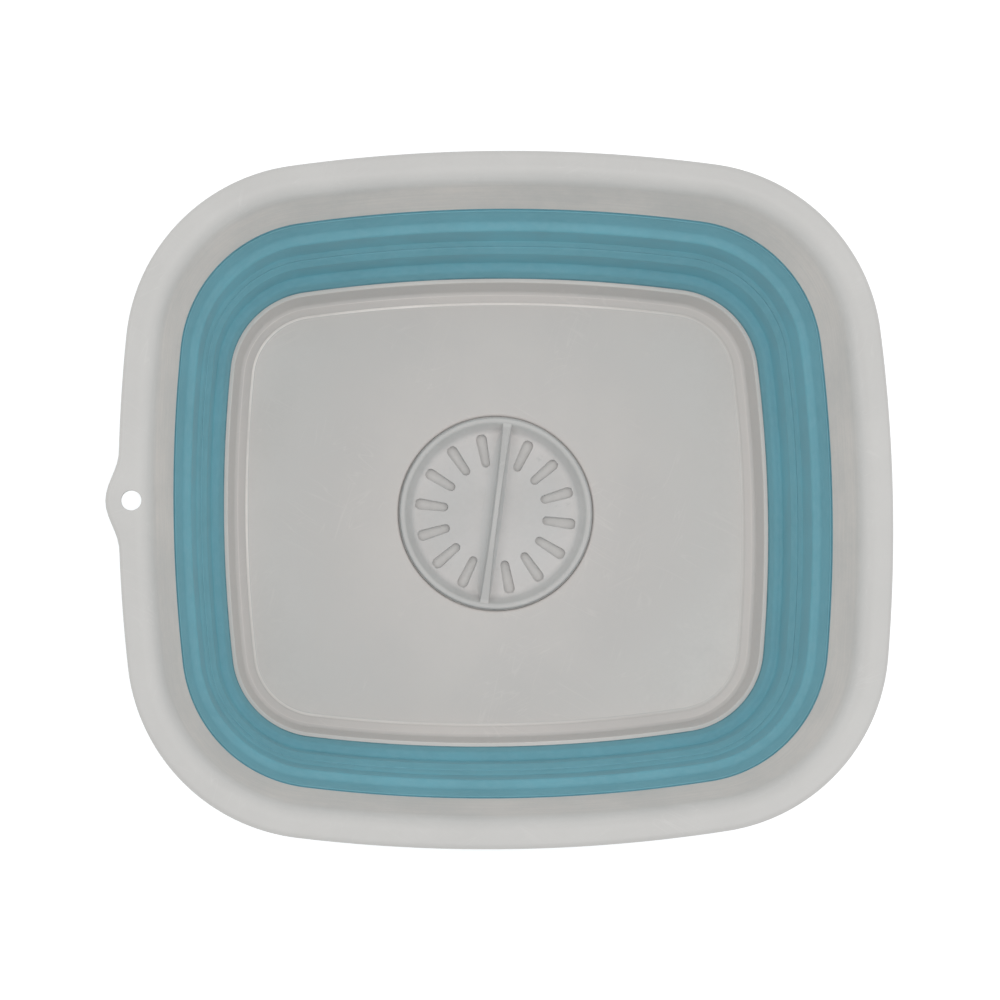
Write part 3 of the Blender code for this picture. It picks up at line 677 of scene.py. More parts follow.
@dataclass(frozen=True)
class DiscGrey(MouldedGrey):
    """The drain disc's plastic, scuffed round its dish, with painted shade towards its bar's ends
    and on its crown.
    """

    # Painted shade: the colour above the span, on the crown and the bar's top, is darker than the
    # dish's floor below.
    colour: Rgb = (0.6, 0.58, 0.562)
    painted_light_low_colour: Rgb = (0.64, 0.612, 0.598)
    painted_light_span: tuple[float, float] = (15.4 * MM, 11.5 * MM)
    cloud_depth: float = 0.07
    scuffs: Mottle = Mottle(8 * MM, 0.6, 0.74, 3.0, 0.7)
    scuff_radius: float = 34 * MM
    scuff_span: tuple[float, float] = (14 * MM, 3 * MM)
    scuff_share: float = 0.8
    # Painted shade: the ends of the bar's top are darker than its middle.
    grip_span: tuple[float, float] = (6 * MM, 26 * MM)
    grip_reach: float = 46.5 * MM
    grip_top: float = 15.2 * MM
    grip_edge: float = 1 * MM

    def marks_and_painted_shade(self, colour: Tint, place: Place) -> Tint:
        """Scuff the dish, and paint shade on the ends of the grip bar.

        Args:
            colour: The clouded colour.
            place: The point being shaded.

        Returns:
            The rubbed colour.
        """
        reach = place.beside_axis(self.axis_x).length()
        near = abs(reach - self.scuff_radius).ramp(*self.scuff_span)
        colour = colour.mixed(self.dull_and_painted_shade, self.scuffs.over(place) * near * self.scuff_share)
        # Painted shade on the ends of the grip bar's top.
        return colour.mixed(self.dull_and_painted_shade, self._painted_bar_end_shade(place, reach))

    def _painted_bar_end_shade(self, place: Place, reach: Value) -> Value:
        """Painted shade on the ends of the grip bar's top, which leaves its middle lighter.

        Args:
            place: The point being shaded.
            reach: Its distance from the axis.

        Returns:
            A mask that is 1 near the ends of the bar's top.
        """
        ends = reach.ramp(*self.grip_span)
        ends = ends * reach.ramp(self.grip_reach, self.grip_reach - self.grip_edge)
        return ends * place.height().ramp(self.grip_top - self.grip_edge, self.grip_top)


@dataclass(frozen=True)
class SoftTeal(Finish):
    """Satin teal elastomer: a faint bloom, painted light on the folds and a painted shadow along
    the tray's seam.
    """

    colour: Rgb = (0.17, 0.405, 0.48)
    # Painted light: the two fold bands take a lighter, bluer colour, standing in for light the
    # deep folds don't get.
    fold_painted_light_colour: Rgb = (0.166, 0.449, 0.54)
    painted_light_folds: tuple[tuple[float, float], ...] = ((66 * MM, 83 * MM), (39 * MM, 55 * MM))
    fold_edge: float = 3 * MM
    # Painted shadow: a dark line on the wall just above its seam with the tray.
    seam: tuple[float, float] = (29 * MM, 30.6 * MM)
    seam_edge: float = 0.7 * MM
    seam_shadow_gain: float = 0.5
    seam_shadow_share: float = 0.8
    clouds: Mottle = Mottle(30 * MM, 0.3, 0.72, 4.0, 0.6)
    cloud_gain: float = 0.88
    cloud_share: float = 0.6
    flow: Mottle = Mottle(5 * MM, 0.35, 0.7)
    flow_squash: tuple[float, float, float] = (1.0, 1.0, 3.0)
    bloom_lift: float = 0.06
    bloom_share: float = 0.3
    roughness: float = 0.5
    cloud_roughness: float = 0.1
    flow_roughness: float = 0.04
    grain: Grain = Grain(0.5 * MM, 0.06 * MM, 0.2)
    ior: float = 1.48
    specular: float = 0.2

    def dress(self, graph: Graph) -> bpy.types.Node:
        """Add the elastomer's nodes.

        Args:
            graph: The material's graph.

        Returns:
            The surface shader.
        """
        place = graph.place()
        clouds = self.clouds.over(place)
        flow = self.flow.over(place * self.flow_squash)
        bloom = tuple(level + self.bloom_lift * (1 - level) for level in self.colour)
        colour = graph.tint(self.colour)
        # Painted light on the fold bands.
        for foot, top in self.painted_light_folds:
            colour = colour.mixed(self.fold_painted_light_colour, place.layer(foot, top, self.fold_edge))
        # Painted shadow along the seam with the tray.
        seam = place.layer(*self.seam, self.seam_edge) * self.seam_shadow_share
        colour = colour.mixed(shade(self.colour, self.seam_shadow_gain), seam)
        cloudy = (1 - clouds) * self.cloud_share
        colour = colour.mixed(shade(self.colour, self.cloud_gain), cloudy)
        colour = colour.mixed(bloom, flow * self.bloom_share)
        roughness = self.roughness + (clouds - 0.5) * self.cloud_roughness
        return graph.add(
            "ShaderNodeBsdfPrincipled",
            None,
            {
                "Base Color": colour,
                "Roughness": roughness + flow * self.flow_roughness,
                "IOR": self.ior,
                "Specular IOR Level": self.specular,
                "Normal": self.grain.over(place),
            },
        )


@dataclass(frozen=True)
class SealGrey(Finish):
    """Matt grey elastomer of the drain's seals."""

    colour: Rgb = (0.6, 0.585, 0.57)
    dust: Mottle = Mottle(6 * MM, 0.35, 0.7, 4.0, 0.6)
    dust_gain: float = 0.86
    dust_share: float = 0.5
    roughness: float = 0.6
    dust_roughness: float = 0.12
    grain: Grain = Grain(0.4 * MM, 0.05 * MM, 0.25)
    ior: float = 1.45

    def dress(self, graph: Graph) -> bpy.types.Node:
        """Add the seal's nodes.

        Args:
            graph: The material's graph.

        Returns:
            The surface shader.
        """
        place = graph.place()
        dust = self.dust.over(place)
        bare = (1 - dust) * self.dust_share
        colour = graph.tint(self.colour).mixed(shade(self.colour, self.dust_gain), bare)
        return graph.add(
            "ShaderNodeBsdfPrincipled",
            None,
            {
                "Base Color": colour,
                "Roughness": self.roughness + dust * self.dust_roughness,
                "IOR": self.ior,
                "Normal": self.grain.over(place),
            },
        )


@dataclass(frozen=True)
class BrushedSteel(Finish):
    """Stainless steel with fine turning marks round its axis."""

    colour: Rgb = (0.62, 0.61, 0.6)
    axis_x: float = 0.0
    mark_spacing: float = 0.12 * MM
    mark_detail: float = 2.0
    mark_levels: tuple[float, float] = (0.3, 0.7)
    haze: Mottle = Mottle(2 * MM, 0.3, 0.7)
    haze_gain: float = 0.8
    haze_share: float = 0.4
    roughness: float = 0.28
    mark_roughness: float = 0.12
    haze_roughness: float = 0.05

    def dress(self, graph: Graph) -> bpy.types.Node:
        """Add the steel's nodes.

        Args:
            graph: The material's graph.

        Returns:
            The surface shader.
        """
        place = graph.place()
        reach = place.beside_axis(self.axis_x).length()
        marks = graph.add(
            "ShaderNodeTexNoise",
            {"noise_dimensions": "1D"},
            {"W": reach, "Scale": 1 / self.mark_spacing, "Detail": self.mark_detail},
        )
        rings = graph.value(marks).ramp(*self.mark_levels)
        haze = self.haze.over(place)
        clear = (1 - haze) * self.haze_share
        colour = graph.tint(self.colour).mixed(shade(self.colour, self.haze_gain), clear)
        roughness = self.roughness + rings * self.mark_roughness + haze * self.haze_roughness
        return graph.add(
            "ShaderNodeBsdfPrincipled",
            None,
            {"Base Color": colour, "Roughness": roughness, "Metallic": 1.0},
        )


@dataclass(frozen=True)
class PaleFloor(Finish):
    """White sweep that still takes the basin's shadow."""

    colour: Rgb = (0.8, 0.8, 0.8)
    lift: float = 0.5

    def dress(self, graph: Graph) -> bpy.types.Node:
        """Add the floor's nodes: the camera, gloss and glass see it lifted to white.

        Args:
            graph: The material's graph.

        Returns:
            The surface shader.
        """
        plain = graph.add("ShaderNodeBsdfDiffuse", None, {"Color": (*self.colour, 1.0)})
        glow = graph.add("ShaderNodeEmission", None, {"Color": WHITE, "Strength": self.lift})
        lifted = graph.add("ShaderNodeAddShader", None, {0: plain.outputs[0], 1: glow.outputs[0]})
        return graph.add(
            "ShaderNodeMixShader",
            None,
            {0: graph.seen(), 1: plain.outputs[0], 2: lifted.outputs[0]},
        )


# Outline, sections and meshes


@dataclass(frozen=True)
class Corner:
    """One corner of a section: how far across, how high, and its fillet's radius."""

    across: float
    height: float
    fillet: float = 0.0

    @property
    def point(self) -> Vector:
        """The corner without its fillet."""
        return Vector((self.across, self.height))


def rounded(corners: Sequence[Corner], closed: bool = True) -> Profile:
    """Turn the corners of a section into fine arcs, each with a point beside it on the straight.

    Args:
        corners: The section's corners in order.
        closed: Whether the last corner joins the first.

    Returns:
        The section's points.
    """
    points: Profile = []
    count = len(corners)
    for index, corner in enumerate(corners):
        here = corner.point
        if not corner.fillet or (not closed and index in (0, count - 1)):
            points.append(here)
            continue
        before = corners[index - 1].point - here
        after = corners[(index + 1) % count].point - here
        half = before.angle(after) / 2
        room = TANGENT_SHARE * min(before.length, after.length)
        tangent = min(corner.fillet / math.tan(half), room)
        radius = tangent * math.tan(half)
        middle = here + (before.normalized() + after.normalized()).normalized() * (
            radius / math.sin(half)
        )
        start = here + before.normalized() * tangent - middle
        turn = start.angle_signed(here + after.normalized() * tangent - middle)
        steps = max(2, math.ceil(abs(turn) / ARC_STEP))
        if before.length > 2 * (tangent + GUARD):
            points.append(here + before.normalized() * (tangent + GUARD))
        for step in range(steps + 1):
            points.append(middle + Matrix.Rotation(-turn * step / steps, 2) @ start)
        if after.length > 2 * (tangent + GUARD):
            points.append(here + after.normalized() * (tangent + GUARD))
    return points


def divided(points: Profile, longest: float) -> Profile:
    """Add points to a closed section's long straights.

    Args:
        points: The section's points.
        longest: The longest step to leave.

    Returns:
        The section with no step longer than that.
    """
    made: Profile = []
    for here, following in zip(points, points[1:] + points[:1]):
        steps = max(1, math.ceil((following - here).length / longest))
        made += [here.lerp(following, step / steps) for step in range(steps)]
    return made


@dataclass(frozen=True)
class Station:
    """One point of the outline, held as its arc's centre, radius and angle."""

    centre: Vector
    radius: float
    angle: float

    def inside(self, inset: float) -> Vector:
        """The point of the parallel line at an inset."""
        reach = self.radius - inset
        return self.centre + Vector((math.cos(self.angle), math.sin(self.angle))) * reach


@dataclass(frozen=True)
class Plan:
    """Outline of the rim's outer edge: four shallow side arcs joined by four corner arcs."""

    length: float = 380 * MM
    width: float = 343 * MM
    side_radius: float = 776 * MM
    corner_radius: float = 94 * MM
    end_draw: float = 1.3 * MM
    draw_inset: float = 24.021 * MM
    end_stretch: float = 1.3 * MM
    stretch_inset: float = 49.521 * MM
    side_steps: int = 44
    corner_steps: int = 36

    @cached_property
    def corner(self) -> Vector:
        """Find where the +X +Y corner arc touches both side arcs from inside.

        Returns:
            The corner arc's centre.
        """
        end_centre = Vector((self.length / 2 - self.side_radius, 0))
        long_centre = Vector((0, self.width / 2 - self.side_radius))
        between = long_centre - end_centre
        reach = self.side_radius - self.corner_radius
        rise = math.sqrt(reach**2 - (between.length / 2) ** 2)
        across = Vector((-between.y, between.x)).normalized()
        return (end_centre + long_centre) / 2 + across * rise

    @cached_property
    def stations(self) -> list[Station]:
        """Divide the outline, anticlockwise from the +X side.

        Returns:
            The outline's points.
        """
        end_centre = self.length / 2 - self.side_radius
        long_centre = self.width / 2 - self.side_radius
        end_turn = math.atan2(self.corner.y, self.corner.x - end_centre)
        long_turn = math.atan2(self.corner.x, self.corner.y - long_centre)
        made: list[Station] = []
        for quarter in range(4):
            facing = quarter * math.pi / 2
            on_end = quarter % 2 == 0
            half_turn = end_turn if on_end else long_turn
            next_turn = long_turn if on_end else end_turn
            outward = Vector((math.cos(facing), math.sin(facing)))
            side_centre = outward * (end_centre if on_end else long_centre)
            for step in range(self.side_steps + 1):
                turn = half_turn * (2 * step / self.side_steps - 1)
                made.append(Station(side_centre, self.side_radius, facing + turn))
            arc_centre = Vector(
                (
                    self.corner.x * (1 if quarter in (0, 3) else -1),
                    self.corner.y * (1 if quarter in (0, 1) else -1),
                )
            )
            sweep = math.pi / 2 - half_turn - next_turn
            for step in range(1, self.corner_steps):
                angle = facing + half_turn + sweep * step / self.corner_steps
                made.append(Station(arc_centre, self.corner_radius, angle))
        return made

    @cached_property
    def bearings(self) -> list[float]:
        """Direction of each station from the basin's axis."""
        return [math.atan2(point.y, point.x) for point in (s.inside(0) for s in self.stations)]

    def line(self, inset: float, height: float) -> Ring:
        """The outline drawn inwards, its two ends drawn in at the rim and out at the tray.

        Args:
            inset: Distance inside the rim's outer edge.
            height: Height above the table.

        Returns:
            The line's points.
        """
        past = max(0.0, inset - self.draw_inset) / (self.stretch_inset - self.draw_inset)
        draw = self.end_draw * min(1.0, inset / self.draw_inset)
        draw -= (self.end_draw + self.end_stretch) * min(1.0, past)
        squeeze = 1 - draw / (self.length / 2 - inset)
        flat = [station.inside(inset) for station in self.stations]
        return [Vector((point.x * squeeze, point.y, height)) for point in flat]

    def circle(self, radius: float, height: float) -> Ring:
        """A circle about the axis with one point at each station's bearing."""
        return [
            Vector((radius * math.cos(turn), radius * math.sin(turn), height))
            for turn in self.bearings
        ]

    def between(self, radius: float, inset: float, share: float, height: float) -> Ring:
        """A line part of the way from a circle to a parallel line.

        Args:
            radius: The circle's radius.
            inset: The parallel line's inset.
            share: 0 on the circle, 1 on the line.
            height: Height above the table.

        Returns:
            The line's points.
        """
        return [
            near.lerp(far, share)
            for near, far in zip(self.circle(radius, height), self.line(inset, height))
        ]


def loft(name: str, rings: Sequence[Ring], closed: bool = True) -> bpy.types.Mesh:
    """A closed body through rings of points.

    Args:
        name: The mesh's name.
        rings: Rings of as many points each.
        closed: Whether the last ring joins the first; if not, both ends are capped.

    Returns:
        The mesh, facing outwards.
    """
    bm = bmesh.new()
    loops = [[bm.verts.new(point) for point in ring] for ring in rings]
    following = loops[1:] + loops[:1] if closed else loops[1:]
    for first, second in zip(loops, following):
        for index in range(len(first)):
            bm.faces.new((first[index - 1], first[index], second[index], second[index - 1]))
    if not closed:
        bm.faces.new(loops[0])
        bm.faces.new(loops[-1])
    return settled(name, bm)


def lathe(name: str, profile: Profile, steps: int, closed: bool = False) -> bpy.types.Mesh:
    """A body turned about the Z axis.

    Args:
        name: The mesh's name.
        profile: Points of (radius, height). An open profile starts and ends on the axis.
        steps: Number of steps round.
        closed: Whether the profile's last point joins its first.

    Returns:
        The mesh, facing outwards.
    """
    bm = bmesh.new()
    rows: list[list[bmesh.types.BMVert]] = []
    for radius, height in profile:
        if radius < WELD:
            rows.append([bm.verts.new((0, 0, height))])
            continue
        turns = (2 * math.pi * step / steps for step in range(steps))
        rows.append(
            [bm.verts.new((radius * math.cos(t), radius * math.sin(t), height)) for t in turns]
        )
    following = rows[1:] + rows[:1] if closed else rows[1:]
    for first, second in zip(rows, following):
        for index in range(steps):
            quad = [
                first[(index - 1) % len(first)],
                first[index % len(first)],
                second[index % len(second)],
                second[(index - 1) % len(second)],
            ]
            bm.faces.new(list(dict.fromkeys(quad)))
    return settled(name, bm)


def settled(name: str, bm: bmesh.types.BMesh) -> bpy.types.Mesh:
    """Turn a bmesh into a mesh that faces outwards.

    Args:
        name: The mesh's name.
        bm: The bmesh, which is used up.

    Returns:
        The mesh.
    """
    bmesh.ops.recalc_face_normals(bm, faces=bm.faces)
    mesh = bpy.data.meshes.new(name)
    bm.to_mesh(mesh)
    bm.free()
    return mesh


def applied(piece: bpy.types.Object) -> None:
    """Turn the piece's modifiers into its mesh.

    Args:
        piece: The piece, which keeps its name and loses its modifiers.
    """
    bpy.context.view_layer.update()
    result = bpy.data.meshes.new_from_object(
        piece.evaluated_get(bpy.context.evaluated_depsgraph_get())
    )
    old = piece.data
    piece.modifiers.clear()
    piece.data = result
    bpy.data.meshes.remove(old)


def merged(mesh: bpy.types.Mesh, other: bpy.types.Mesh, join: Join) -> bpy.types.Mesh:
    """Add a helper solid to a mesh, or cut it out.

    Args:
        mesh: The mesh to change, which is used up.
        other: The helper solid, which is used up too.
        join: Whether it is added or cut.

    Returns:
        The new mesh.
    """
    pair = [bpy.data.objects.new(item.name, item) for item in (mesh, other)]
    for item in pair:
        bpy.context.scene.collection.objects.link(item)
    modifier = pair[0].modifiers.new(join.name, "BOOLEAN")
    modifier.object = pair[1]
    modifier.operation = join.value
    modifier.solver = "EXACT"
    applied(pair[0])
    result = pair[0].data
    for item in pair:
        bpy.data.objects.remove(item)
    bpy.data.meshes.remove(other)
    bm = bmesh.new()
    bm.from_mesh(result)
    bmesh.ops.remove_doubles(bm, verts=bm.verts, dist=WELD)
    bmesh.ops.dissolve_degenerate(bm, edges=bm.edges, dist=WELD)
    bm.to_mesh(result)
    bm.free()
    return result


def shifted(mesh: bpy.types.Mesh, matrix: Matrix) -> bpy.types.Mesh:
    """Move a mesh's points by a matrix."""
    mesh.transform(matrix)
    return mesh


def together(name: str, meshes: Sequence[bpy.types.Mesh]) -> bpy.types.Mesh:
    """Several separate solids as one mesh.

    Args:
        name: The mesh's name.
        meshes: The solids, which are used up.

    Returns:
        The mesh.
    """
    bm = bmesh.new()
    for mesh in meshes:
        bm.from_mesh(mesh)
        bpy.data.meshes.remove(mesh)
    return settled(name, bm)


def round_bar(radius: float, foot: float, top: float, flare: float) -> Profile:
    """Profile of a round cutter that opens out at its top in a quarter circle.

    Args:
        radius: The bore's radius.
        foot: Height of the cutter's foot.
        top: Height of the face that it cuts.
        flare: Radius of the rounded edge at that face.

    Returns:
        Points of (radius, height), from axis to axis.
    """
    turns = [FLARE_TURN * step / FLARE_STEPS for step in range(FLARE_STEPS + 1)]
    upper = [
        Vector((radius + flare * (1 - math.cos(t)), top - flare + flare * math.sin(t)))
        for t in turns
    ]
    upper.append(upper[-1] + Vector((RUN_OUT * math.tan(turns[-1]), RUN_OUT)))
    return [Vector((0, foot)), Vector((radius, foot)), *upper, Vector((0, upper[-1].y))]


# Pieces and where they go


@dataclass(frozen=True)
class Crossing:
    """Where a soft piece bends from one body to the next."""

    second: Body
    start: float
    end: float


@dataclass(frozen=True)
class Piece:
    """A finished mesh, its finish, the body that carries it and the nodes that it stands for."""

    name: str
    mesh: bpy.types.Mesh
    finish: bpy.types.Material
    slot: Slot
    body: Body
    stands_for: tuple[str, ...]
    crossing: Crossing | None = None
    even: bool = True


@dataclass(frozen=True)
class Workbench:
    """Puts finished pieces on the basin's axis and hands each one that doesn't cross between
    bodies to its body.
    """

    axis: Vector

    def put(self, piece: Piece) -> bpy.types.Object:
        """Make the piece's object in the part's frame.

        Args:
            piece: What to place. Its mesh is drawn about the basin's axis.

        Returns:
            The placed object.
        """
        mesh = shifted(piece.mesh, Matrix.Translation(self.axis))
        mesh.materials.clear()
        mesh.materials.append(piece.finish)
        item = bpy.data.objects.new(piece.name, mesh)
        bpy.context.scene.collection.objects.link(item)
        mesh.shade_smooth()
        mesh.set_sharp_from_angle(angle=SHARP_ANGLE)
        if piece.even:
            item.modifiers.new("even", "WEIGHTED_NORMAL").keep_sharp = True
            applied(item)
        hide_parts(*piece.stands_for)
        if piece.crossing:
            self._bend(item)
        else:
            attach(item, piece.body.value)
        log.info("%s: %d faces on %s", item.name, len(item.data.polygons), piece.body.value)
        return item

    def _bend(self, item: bpy.types.Object) -> None:
        """Bake a soft piece's placement into its mesh; it is given to no body.

        Args:
            item: The piece's object.
        """
        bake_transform(item)


@dataclass(frozen=True)
class Stack:
    """Heights above the table and insets from the rim's edge at which the rings meet."""

    gap: float = 0.3 * MM
    rim_top: float = 130 * MM
    upper_seam: float = 98 * MM
    upper_seam_inset: float = 24.021 * MM
    upper_lap: float = 5 * MM
    upper_ledge: float = 86 * MM
    upper_ledge_inset: float = 27.921 * MM
    upper_tip_inset: float = 32.521 * MM
    upper_fold_top: float = 84 * MM
    upper_fold_foot: float = 65 * MM
    middle_top_inset: float = 34.721 * MM
    crease: float = 61 * MM
    crease_inset: float = 37.621 * MM
    lower_fold_top: float = 57 * MM
    middle_foot_inset: float = 40.521 * MM
    lower_fold_foot: float = 38 * MM
    lower_fold_inset: float = 42.721 * MM
    lower_ledge: float = 36 * MM
    lower_ledge_inset: float = 46.121 * MM
    lower_seam: float = 29 * MM
    lower_seam_inset: float = 49.521 * MM
    lower_lap: float = 4 * MM
    lap_cover: float = 1.2 * MM
    band_wall: float = 2.4 * MM
    fold_wall: float = 1 * MM

    @property
    def upper_slope(self) -> float:
        """Inset gained for each unit of fall on the soft wall under the rim."""
        fall = self.upper_seam - self.upper_ledge
        return (self.upper_ledge_inset - self.upper_seam_inset) / fall

    @property
    def lower_slope(self) -> float:
        """Inset gained for each unit of fall on the soft wall above the tray."""
        fall = self.lower_ledge - self.lower_seam
        return (self.lower_seam_inset - self.lower_ledge_inset) / fall


@dataclass
class RimFrame:
    """Grey rim: rolled edge, flat flange, round shoulder, steep wall and the hanging ear."""

    plan: Plan
    stack: Stack
    flange: float = 7.4 * MM
    shoulder: float = 11.4 * MM
    under_shoulder: float = 7.1 * MM
    draft: float = math.radians(16.6)
    wall: float = 2.4 * MM
    wall_lean: float = 0.06
    lip_depth: float = 6 * MM
    lip_root: float = 0.6 * MM
    lip_inner_edge: float = 0.5 * MM
    lip_outer_edge: float = 0.7 * MM
    edge: float = 3 * MM
    seam_edge: float = 0.35 * MM
    tongue_edge: float = 0.2 * MM
    longest_step: float = 4 * MM
    ear_reach: float = 6.3 * MM
    ear_half_width: float = 24 * MM
    hole_radius: float = 4.85 * MM
    hole_inset: float = 6.4 * MM
    hole_foot: float = 120 * MM
    hole_edge: float = 0.4 * MM
    hole_steps: int = 96

    def section(self) -> Profile:
        """Section of the rim, with the tongue that the soft wall covers.

        Returns:
            The closed section.
        """
        stack = self.stack
        top = stack.rim_top
        fall = top - stack.upper_seam
        wall_at_top = stack.upper_seam_inset - fall * math.tan(self.draft)
        lap_run = stack.upper_lap * stack.upper_slope
        lap_foot = stack.upper_seam - stack.upper_lap
        inside = stack.upper_seam_inset - stack.lap_cover - stack.gap
        outside = stack.upper_seam_inset - self.wall
        under_wall = outside - (fall - self.wall) * math.tan(self.draft)
        under_wall += self.wall_lean * self.wall
        return rounded(
            [
                Corner(self.wall, top - self.wall, self.lip_root),
                Corner(self.wall, top - self.lip_depth, self.lip_inner_edge),
                Corner(0, top - self.lip_depth, self.lip_outer_edge),
                Corner(0, top, self.edge),
                Corner(wall_at_top, top, self.shoulder),
                Corner(stack.upper_seam_inset, stack.upper_seam, self.seam_edge),
                Corner(inside, stack.upper_seam),
                Corner(inside + lap_run, lap_foot),
                Corner(outside + lap_run, lap_foot, self.tongue_edge),
                Corner(outside, stack.upper_seam),
                Corner(under_wall, top - self.wall, self.under_shoulder),
            ]
        )

    def with_ear(self, ring: Ring, inset: float) -> Ring:
        """The ring with the ear's bulge, which fades out across the flange.

        Args:
            ring: A ring of the rim, changed in place.
            inset: The ring's inset.

        Returns:
            The same ring.
        """
        fade = (self.flange - inset) / (self.flange - self.edge)
        reach = self.ear_reach * min(1.0, max(0.0, fade))
        for point in ring:
            if point.x < 0 and abs(point.y) < self.ear_half_width:
                point.x -= reach * (1 + math.cos(math.pi * point.y / self.ear_half_width)) / 2
        return ring

    def build(self, bench: Workbench, finish: bpy.types.Material) -> None:
        """Build the rim and its hole, and place it.

        Args:
            bench: Where the piece goes.
            finish: The grey plastic.
        """
        rings = [
            self.with_ear(self.plan.line(inset, height), inset)
            for inset, height in divided(self.section(), self.longest_step)
        ]
        bore = round_bar(self.hole_radius, self.hole_foot, self.stack.rim_top, self.hole_edge)
        cutter = lathe("ear_hole", bore, self.hole_steps)
        place = Matrix.Translation((self.hole_inset - self.plan.length / 2, 0, 0))
        mesh = merged(loft("rim", rings), shifted(cutter, place), Join.CUT)
        bench.put(Piece("rim_moulding", mesh, finish, Slot.HARD, Body.RIM, ("rim_frame",)))


@dataclass
class FoldingWall:
    """Teal wall in two soft rings that meet at the crease round the middle band."""

    plan: Plan
    stack: Stack
    ledge_fillet: float = 3.6 * MM
    ridge_fillet: float = 2.4 * MM
    crease_fillet: float = 0.9 * MM
    ledge_shift: float = 0.9 * MM
    knee_shift: float = -0.9 * MM
    seam_depth: float = 1 * MM
    seam_width: float = 0.45 * MM
    seam_slant: float = 0.1 * MM
    seam_edges: tuple[float, float] = (0.1 * MM, 0.15 * MM)
    lip: float = 0.7 * MM
    lip_height: float = 2.8 * MM
    lip_edge: float = 0.3 * MM
    lip_foot_fillet: float = 0.6 * MM
    lap_edge: float = 0.3 * MM
    foot_edge: float = 0.45 * MM
    crease_gap: float = 0.04 * MM
    crease_back: float = 0.4 * MM
    fold_back: float = 1 * MM
    ledge_back: float = 2 * MM
    middle_wall: float = 2.8 * MM
    longest_step: float = 1 * MM

    def upper_section(self) -> Profile:
        """From the rim's seam down to the crease, and back up the outside.

        Returns:
            The closed section.
        """
        stack = self.stack
        top = stack.upper_seam - stack.gap
        lap_foot = stack.upper_seam - stack.upper_lap - stack.gap
        lap_run = (stack.upper_seam - lap_foot) * stack.upper_slope
        tip = (stack.upper_ledge + stack.upper_fold_top) / 2
        ledge = stack.upper_ledge_inset + self.ledge_shift
        outside = ledge - stack.band_wall
        outside += (stack.upper_ledge - stack.upper_fold_top) * stack.upper_slope
        fold_foot = stack.middle_top_inset - stack.fold_wall
        fold_top = stack.upper_tip_inset - stack.fold_wall
        lap_out = stack.upper_seam_inset - stack.band_wall + lap_run
        crease = stack.crease + self.crease_gap / 2
        notch = stack.upper_seam_inset + self.seam_slant
        notch_edge, lip_root = self.seam_edges
        lip_foot = stack.upper_seam_inset + self.lip_height * stack.upper_slope
        lip_out = stack.upper_seam_inset + self.seam_width + self.lip
        return rounded(
            [
                Corner(stack.upper_seam_inset, top),
                Corner(notch, top - self.seam_depth, notch_edge),
                Corner(lip_out - self.lip, top - self.seam_depth / 2, lip_root),
                Corner(lip_out, top - self.seam_depth / 2, self.lip_edge),
                Corner(lip_foot, top - self.lip_height, self.lip_foot_fillet),
                Corner(ledge, stack.upper_ledge, self.ledge_fillet),
                Corner(stack.upper_tip_inset + self.ledge_shift / 2, tip, self.ridge_fillet),
                Corner(stack.middle_top_inset, stack.upper_fold_foot, self.ridge_fillet),
                Corner(stack.crease_inset, crease, self.crease_fillet),
                Corner(stack.crease_inset - self.middle_wall, crease, self.crease_back),
                Corner(fold_foot, stack.upper_fold_foot, self.fold_back),
                Corner(fold_top, stack.upper_fold_top, self.fold_back),
                Corner(outside, stack.upper_fold_top, self.ledge_back),
                Corner(lap_out, lap_foot, self.lap_edge),
                Corner(stack.upper_seam_inset - stack.lap_cover + lap_run, lap_foot),
                Corner(stack.upper_seam_inset - stack.lap_cover, top),
            ]
        )

    def lower_section(self) -> Profile:
        """From the crease down to the tray's seam, and back up the outside.

        Returns:
            The closed section.
        """
        stack = self.stack
        foot = stack.lower_seam + stack.gap
        lap_top = foot + stack.lower_lap
        lap_run = stack.lower_lap * stack.lower_slope
        foot_inset = stack.lower_seam_inset - stack.gap * stack.lower_slope
        knee = (stack.lower_ledge + stack.lower_fold_foot) / 2
        crease = stack.crease - self.crease_gap / 2
        knee_inset = stack.lower_fold_inset + self.knee_shift
        outside = knee_inset - stack.fold_wall
        fold_top = stack.middle_foot_inset - stack.fold_wall
        return rounded(
            [
                Corner(stack.crease_inset, crease, self.crease_fillet),
                Corner(stack.middle_foot_inset, stack.lower_fold_top, self.ridge_fillet),
                Corner(knee_inset, knee, self.ridge_fillet),
                Corner(stack.lower_ledge_inset, stack.lower_ledge, self.ledge_fillet),
                Corner(foot_inset, foot, self.foot_edge),
                Corner(foot_inset - stack.lap_cover, foot),
                Corner(foot_inset - stack.lap_cover - lap_run, lap_top),
                Corner(foot_inset - stack.band_wall - lap_run, lap_top, self.lap_edge),
                Corner(outside, stack.lower_ledge, self.fold_back),
                Corner(fold_top, stack.lower_fold_top, self.fold_back),
                Corner(stack.crease_inset - self.middle_wall, crease, self.crease_back),
            ]
        )

    def build(self, bench: Workbench, finish: bpy.types.Material) -> None:
        """Build both rings of the wall, and place them.

        Args:
            bench: Where the pieces go.
            finish: The teal elastomer.
        """
        stack = self.stack
        upper = Crossing(Body.MIDDLE, stack.upper_fold_top, stack.upper_fold_foot)
        lower = Crossing(Body.BASE, stack.lower_fold_top, stack.lower_fold_foot)
        upper_nodes = ("upper_band", "upper_fold")
        lower_nodes = ("middle_band", "lower_fold", "lower_band")
        for name, section, body, nodes, crossing in (
            ("upper_wall", self.upper_section(), Body.RIM, upper_nodes, upper),
            ("lower_wall", self.lower_section(), Body.MIDDLE, lower_nodes, lower),
        ):
            rings = [self.plan.line(*point) for point in divided(section, self.longest_step)]
            mesh = loft(name, rings)
            bench.put(Piece(name, mesh, finish, Slot.SOFT, body, nodes, crossing, even=False))


